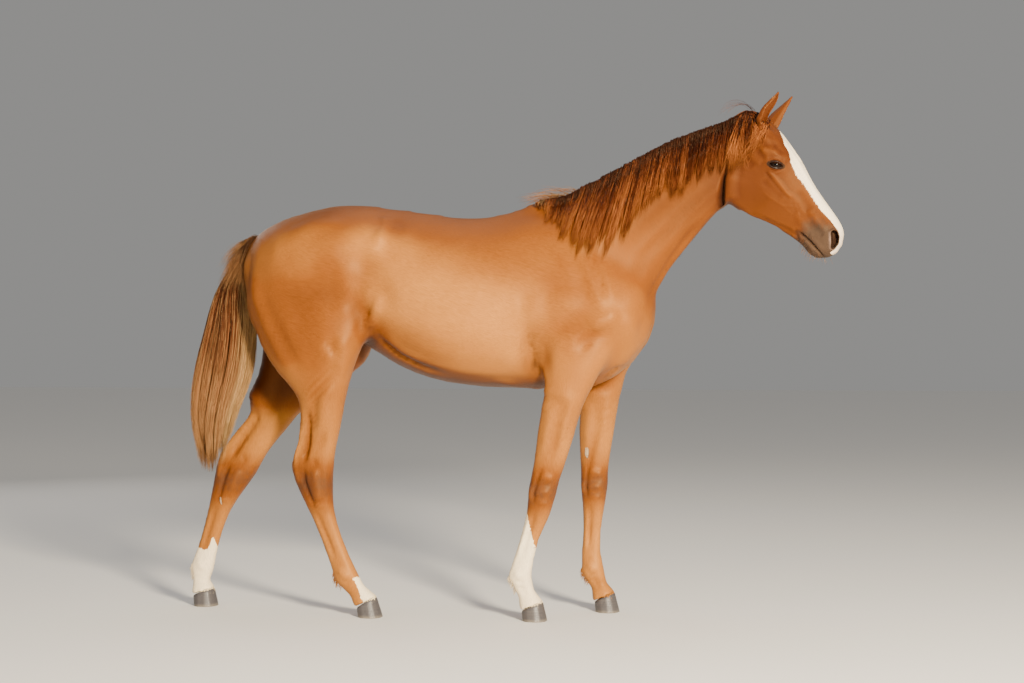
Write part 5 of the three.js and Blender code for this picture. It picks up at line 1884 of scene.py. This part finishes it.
def whiskers(hide, look):
    s, side, t = toHead(hide.places).T
    weight = ramp(s, 0.46, 0.5) * ramp(-t, 0.03, 0.075) * (hide.values["onHead"] > 0.9) + 1e-9
    place, normal, uv, values = hide.roots(smallDetails["whiskers"], weight)
    many = len(place)
    ways = unit(normal + headFrame[0] * 0.4 + dice.normal(0, 0.18, (many, 3)))
    extra = {"strand": dice.uniform(0.3, 0.9, many), "straw": dice.uniform(0, 0.5, many)}
    return shortLocks("whiskers", hide, look, place, ways, dice.uniform(0.012, 0.034, many), 0.0007, 0.15,
                      np.repeat(headFrame[1][None], many, 0), extra)


def coronets(hide, look, feet):
    # hair hanging over the top of each hoof, in the coat's own colour there
    pieces = []
    for name, foot in feet.items():
        places = placesOf(foot.data)
        middle = (places.min(0) + places.max(0)) / 2
        around = np.arctan2(places[:, 1] - middle[1], places[:, 0] - middle[0])
        turns = dice.uniform(-np.pi, np.pi, smallDetails["coronetHairs"])
        roots, ways = [], []
        for turn in turns:
            near = places[np.abs((around - turn + np.pi) % (2 * np.pi) - np.pi) < 0.12]
            rim = near[:, 2] > near[:, 2].max() - 0.004
            outmost = near[rim][np.linalg.norm(near[rim][:, :2] - middle[:2], axis=1).argmax()]
            way = np.array((math.cos(turn), math.sin(turn), 0))
            roots.append(outmost - way * 0.0045 + (0, 0, dice.uniform(0.001, 0.009)))
            ways.append(way * 0.42 + (0, 0, -1) + dice.normal(0, 0.1, 3))
        ways = unit(np.array(ways))
        away = unit(ways * (1, 1, 0) + (0, 0, 0.35))
        pieces.append(shortLocks(name.replace("hoof", "coronet") + "_hair", hide, look, np.array(roots), ways,
                                 dice.uniform(0.01, 0.019, len(turns)), 0.0034, 0.12, away))
    return pieces


def fetlocks(clay, hide, look, spans):
    pieces = []
    many = smallDetails["fetlockHairs"]
    for name, rows in spans.items():
        way = "behindFore" if name.startswith("fore") else "back"
        side = -1 if name.endswith("right") else 1
        middle = np.interp(0.14, rows[:, 0], rows[:, 3])
        spots = np.stack([middle + dice.normal(0, 0.01, many), dice.uniform(0.11, 0.165, many)], 1)
        found = np.concatenate([clay.drawn(way, [spot]).reshape(-1, 6) for spot in spots])
        found = found[found[:, 1] * side > 0]
        place, normal = found[:, :3], found[:, 3:]
        ways = unit(normal * 0.45 + (0, 0, -1) + dice.normal(0, 0.1, (len(found), 3)))
        name = name.replace("leg", "fetlock") + "_hair"
        lengths = dice.uniform(0.01, 0.026, len(found))
        roots = place - normal * 0.001
        pieces.append(shortLocks(name, hide, look, roots, ways, lengths, 0.0026, 0.0, normal))
    return pieces


tailDetails = {
    "colours": {"Dark": (0.032, 0.008, 0.003), "Middle": (0.148, 0.045, 0.015), "Light": (0.36, 0.145, 0.052),
                "Straw tips": 0.3},
    "layers": [
        # how many locks, how wide, how far in from the outside, how light
        (1850, 0.0048, (0.1, 0.86), 0.16),
        (2250, 0.0032, (0.7, 0.98), 0.38),
        (2450, 0.0023, (0.84, 1.04), 0.6),
    ],
    "rings": 10,
    "profile": [(0, 0.6), (0.06, 1.0), (0.55, 0.85), (0.88, 0.4), (1, 0)],
    "clumps": 70,
    "gather": 0.5,
    "forwards": 0.014,
    "close": 0.022,
    "lowestWide": 0.58,
    "rootPower": 1.2,
    # how much shorter locks are than the tail's whole length: all, by clump, at random, and at its front
    "shorter": (0.01, 0.13, 0.45, 0.34),
    "wave": 0.0035,
}


def tailEnvelope(levels):
    # the tail solid's back, front and half width at each height
    solid = placesOf(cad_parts["tail"].data)
    edges = edgesOf(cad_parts["tail"].data)
    rows = []
    for height in levels:
        a, b = solid[edges[:, 0]], solid[edges[:, 1]]
        crossing = (a[:, 2] - height) * (b[:, 2] - height) < 0
        a, b = a[crossing], b[crossing]
        cut = a + (b - a) * ((height - a[:, 2]) / (b[:, 2] - a[:, 2]))[:, None]
        rows.append((cut[:, 0].min(), cut[:, 0].max(), np.abs(cut[:, 1]).max()))
    return np.array(rows)


def tailLayer(many, depths, clumpPlaces, levels, rows):
    d = tailDetails
    dock = skinDetails["dock"][1:]
    line = np.array([(x, 0, z) for x, z, radius in dock])
    runs = np.concatenate([[0], np.cumsum(np.linalg.norm(np.diff(line, axis=0), axis=1))])
    turn = dice.uniform(0, 2 * np.pi, many)
    share = dice.uniform(*depths, many)
    disk = np.stack([np.cos(turn), np.sin(turn)], 1) * share[:, None]
    clump = np.linalg.norm(disk[:, None] - clumpPlaces[None], axis=2).argmin(1)
    run = runs[-1] * dice.random(many) ** d["rootPower"]
    rootX, rootZ = (np.interp(run, runs, line[:, k]) for k in (0, 2))
    radius = np.interp(run, runs, np.array(dock)[:, 2]) * 0.8
    rootX, rootY = rootX + np.cos(turn) * radius, np.sin(turn) * radius
    frontness = np.clip(disk[:, 0], 0, 1)
    lowest, clumped, loose, front = d["shorter"]
    drop = lowest + clumped * (1 + np.sin(clump * 3.7)) / 2 + loose * dice.random(many) ** 3.0
    drop = drop + front * frontness ** 2 * dice.random(many)
    endZ = np.minimum(levels[0] + (levels[-1] - levels[0]) * drop, rootZ - 0.12)
    t = np.linspace(0, 1, d["rings"] + 1)[None]
    z = rootZ[:, None] + (endZ - rootZ)[:, None] * t ** 1.05
    at = np.maximum(z, d["lowestWide"])
    backX, frontX, halfWide = (np.interp(at, levels, rows[:, k]) for k in range(3))
    frontX = frontX + d["forwards"] * ramp(z, 0.62, 0.86) * (1 - ramp(z, 1.18, 1.3))
    pull = (clumpPlaces[clump] / np.maximum(np.linalg.norm(clumpPlaces[clump], axis=1), 0.01)[:, None]
            * share[:, None] * 0.97)
    gathered = disk[:, None] + (pull - disk)[:, None] * (d["gather"] * np.clip(t * 1.3, 0, 1))[..., None]
    x = (backX + frontX) / 2 + gathered[..., 0] * (frontX - backX) / 2
    x = x + d["close"] * ramp(z, 0.98, 1.12) * (1 - ramp(z, 1.24, 1.33)) * np.clip(gathered[..., 0], 0, 1)
    y = gathered[..., 1] * halfWide
    hang = ramp(rootZ[:, None] - z, 0.0, 0.12)
    x = rootX[:, None] * (1 - hang) + x * hang - 0.014 * np.sin(hang * np.pi)
    y = rootY[:, None] * (1 - hang) + y * hang
    wave, phase = dice.normal(0, d["wave"], (many, 2)), dice.uniform(0, 6, many)[:, None]
    x = x + wave[:, :1] * np.sin(t * 7 + phase) * t
    y = y + wave[:, 1:] * np.sin(t * 6 + phase) * t
    outwards = unit(np.stack([np.cos(turn)[:, None] + 0 * t, np.sin(turn)[:, None] + 0 * t, 0 * x + 0.15], 2))
    return np.stack([x, y, z], 2), outwards, clump, disk


def tailOfHair(hide, look):
    d = tailDetails
    low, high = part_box("tail")
    levels = np.linspace(low.z + 0.012, high.z - 0.03, 48)
    rows = tailEnvelope(levels)
    profile = through(np.linspace(0, 1, d["rings"] + 1), d["profile"])
    clumpTurns = dice.uniform(0, 2 * np.pi, d["clumps"])
    clumpPlaces = np.stack([np.cos(clumpTurns), np.sin(clumpTurns)], 1)
    clumpPlaces = clumpPlaces * dice.uniform(0.5, 1, d["clumps"])[:, None]
    clumpShade = dice.normal(0, 0.12, d["clumps"])
    pieces = []
    for number, (many, width, depths, shade) in enumerate(d["layers"]):
        guides, outwards, clump, disk = tailLayer(many, depths, clumpPlaces, levels, rows)
        widths = width * dice.uniform(0.5, 1.3, many)[:, None] * profile[None]
        strand = shade + dice.normal(0, 0.18, many) + clumpShade[clump]
        edge = ramp(disk[:, 0], 0.4, 0.85) * (0.35 + 0.65 * (number > 0))
        straw = edge * dice.uniform(0.2, 1.1, many) + (dice.random(many) < 0.16) * 0.45 * (number > 0)
        name, sideways = "tail_locks_%d" % (number + 1), bladeSides(guides, outwards, 0.4)
        straw = np.clip(straw, 0, 0.95)
        pieces.append(locks(name, hide, look, guides, sideways, outwards, widths, strand, straw))
    return pieces


studioDetails = {
    "camera": (1.0336, -7.1875, 1.02),
    "turn": 8.0,
    "tilt": -0.187,
    "lens": 70.0,
    "lights": [
        # name, place, aimed at, size, power, colour
        ("key", (3.4, -6.4, 2.9), (0.1, 0.0, 1.1), 1.2, 1880, (1.0, 0.87, 0.66)),
        ("fill", (-5.5, -4.5, 2.2), (0.0, 0.0, 1.1), 4.0, 60, (1.0, 0.95, 0.9)),
        ("top", (-0.2, 1.2, 5.4), (0.0, 0.0, 1.0), 4.0, 55, (1.0, 0.97, 0.93)),
        ("rear", (-4.5, 5.0, 3.0), (0.0, 0.0, 1.1), 3.0, 55, (1.0, 0.93, 0.85)),
    ],
    "floorColour": (0.8, 0.78, 0.75, 1),
    "skyColour": (0.84, 0.83, 0.81, 1),
    "skyStrength": 0.34,
    "floorGlow": 0.06,
}


def setUpStudio():
    s = studioDetails
    lens = bpy.data.cameras.new("camera")
    lens.lens, lens.sensor_width, lens.clip_end = s["lens"], 36, 60
    camera = newObject("camera", lens)
    camera.location = s["camera"]
    camera.rotation_euler = (math.radians(90 + s["tilt"]), 0, math.radians(s["turn"]))
    bpy.context.scene.camera = camera
    for name, place, target, size, power, colour in s["lights"]:
        lamp = bpy.data.lights.new(name, "AREA")
        lamp.shape, lamp.size, lamp.energy, lamp.color = "DISK", size, power, colour
        light = newObject(name, lamp)
        light.location = place
        light.rotation_euler = (Vector(target) - Vector(place)).to_track_quat("-Z", "Y").to_euler()
    bm = bmesh.new()
    bmesh.ops.create_grid(bm, x_segments=1, y_segments=1, size=30)
    floor = newObject("floor", meshOf("floor", bm))
    look, n = newMaterial("floor")
    n.surface({"Base Color": s["floorColour"], "Roughness": 0.85, "Emission Color": s["floorColour"],
               "Emission Strength": s["floorGlow"]})
    floor.data.materials.append(look)
    world = bpy.data.worlds.new("studio")
    world.use_nodes = True
    background = world.node_tree.nodes["Background"].inputs
    background["Color"].default_value = s["skyColour"]
    background["Strength"].default_value = s["skyStrength"]
    bpy.context.scene.world = world


def dressed(pieces, slot, *nodes):
    for piece in pieces:
        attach(piece, "root")
    for node in nodes:
        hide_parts(node)


colourGroup, glossGroup = coatColourGroup(hairGrainGroup()), coatGlossGroup()
hairGroup = strandGroup()

skin = oneSkin()
clay = Clay(skin.data)
sculpt(clay)
for table in refiningDetails.values():
    refined(skin.data, refiningSpots(table))
clay.refresh()
sculptHead(clay)
unwrapped(skin)
clay.refresh()
carried(clay)
skin.data.shade_smooth()
skin.data.materials.clear()
skin.data.materials.append(skinLook(colourGroup, glossGroup))
dressed([skin], "coat", *skinDetails["flesh"])
print("skin:", len(skin.data.polygons), "faces")

hide = Hide(clay)
coatHair = furLook(colourGroup, glossGroup)
fur = coatOfFur(hide, coatHair)
dressed(fur, "coat")
print("coat tufts:", sum(len(piece.data.polygons) for piece in fur), "faces")

maneLook = strandLook("mane hair", hairGroup, {})
mane = maneOfHair(hide, NeckSide(hide.tree), maneLook)
dressed(mane, "mane_hair", "mane")
dressed([forelockOfHair(hide, maneLook)], "mane_hair", "forelock")
tailLook = strandLook("tail hair", hairGroup, tailDetails["colours"])
tail = tailOfHair(hide, tailLook)
dressed(tail, "tail_hair", "tail")
for name, piece in wisps(hide, maneLook, tailLook).items():
    dressed([piece], "tail_hair" if name.startswith("dock") else "mane_hair")
print("long hair:", sum(len(piece.data.polygons) for piece in mane + tail), "faces")

shine, rim = eyeLook(), rimLook()
for side, name in ((-1, "eye_right"), (1, "eye_left")):
    dressed([eyeball(side, shine)], "eye", name)
    dressed([lidRim(side, rim)], "coat")

horn = hornLook()
feet = {name: hoof(name, horn) for name in hornDetails["hooves"]}
for name, foot in feet.items():
    dressed([foot], "hoof_horn", name)
spans = legSpans(clay.places)
dressed(coronets(hide, coatHair, feet) + fetlocks(clay, hide, coatHair, spans), "coat")
dressed(earHair(hide, maneLook) + lashes(hide, maneLook) + [whiskers(hide, maneLook)], "coat")
print("small hair done")
dressed([chestnuts(clay, spans, chestnutLook())], "hoof_horn")

setUpStudio()
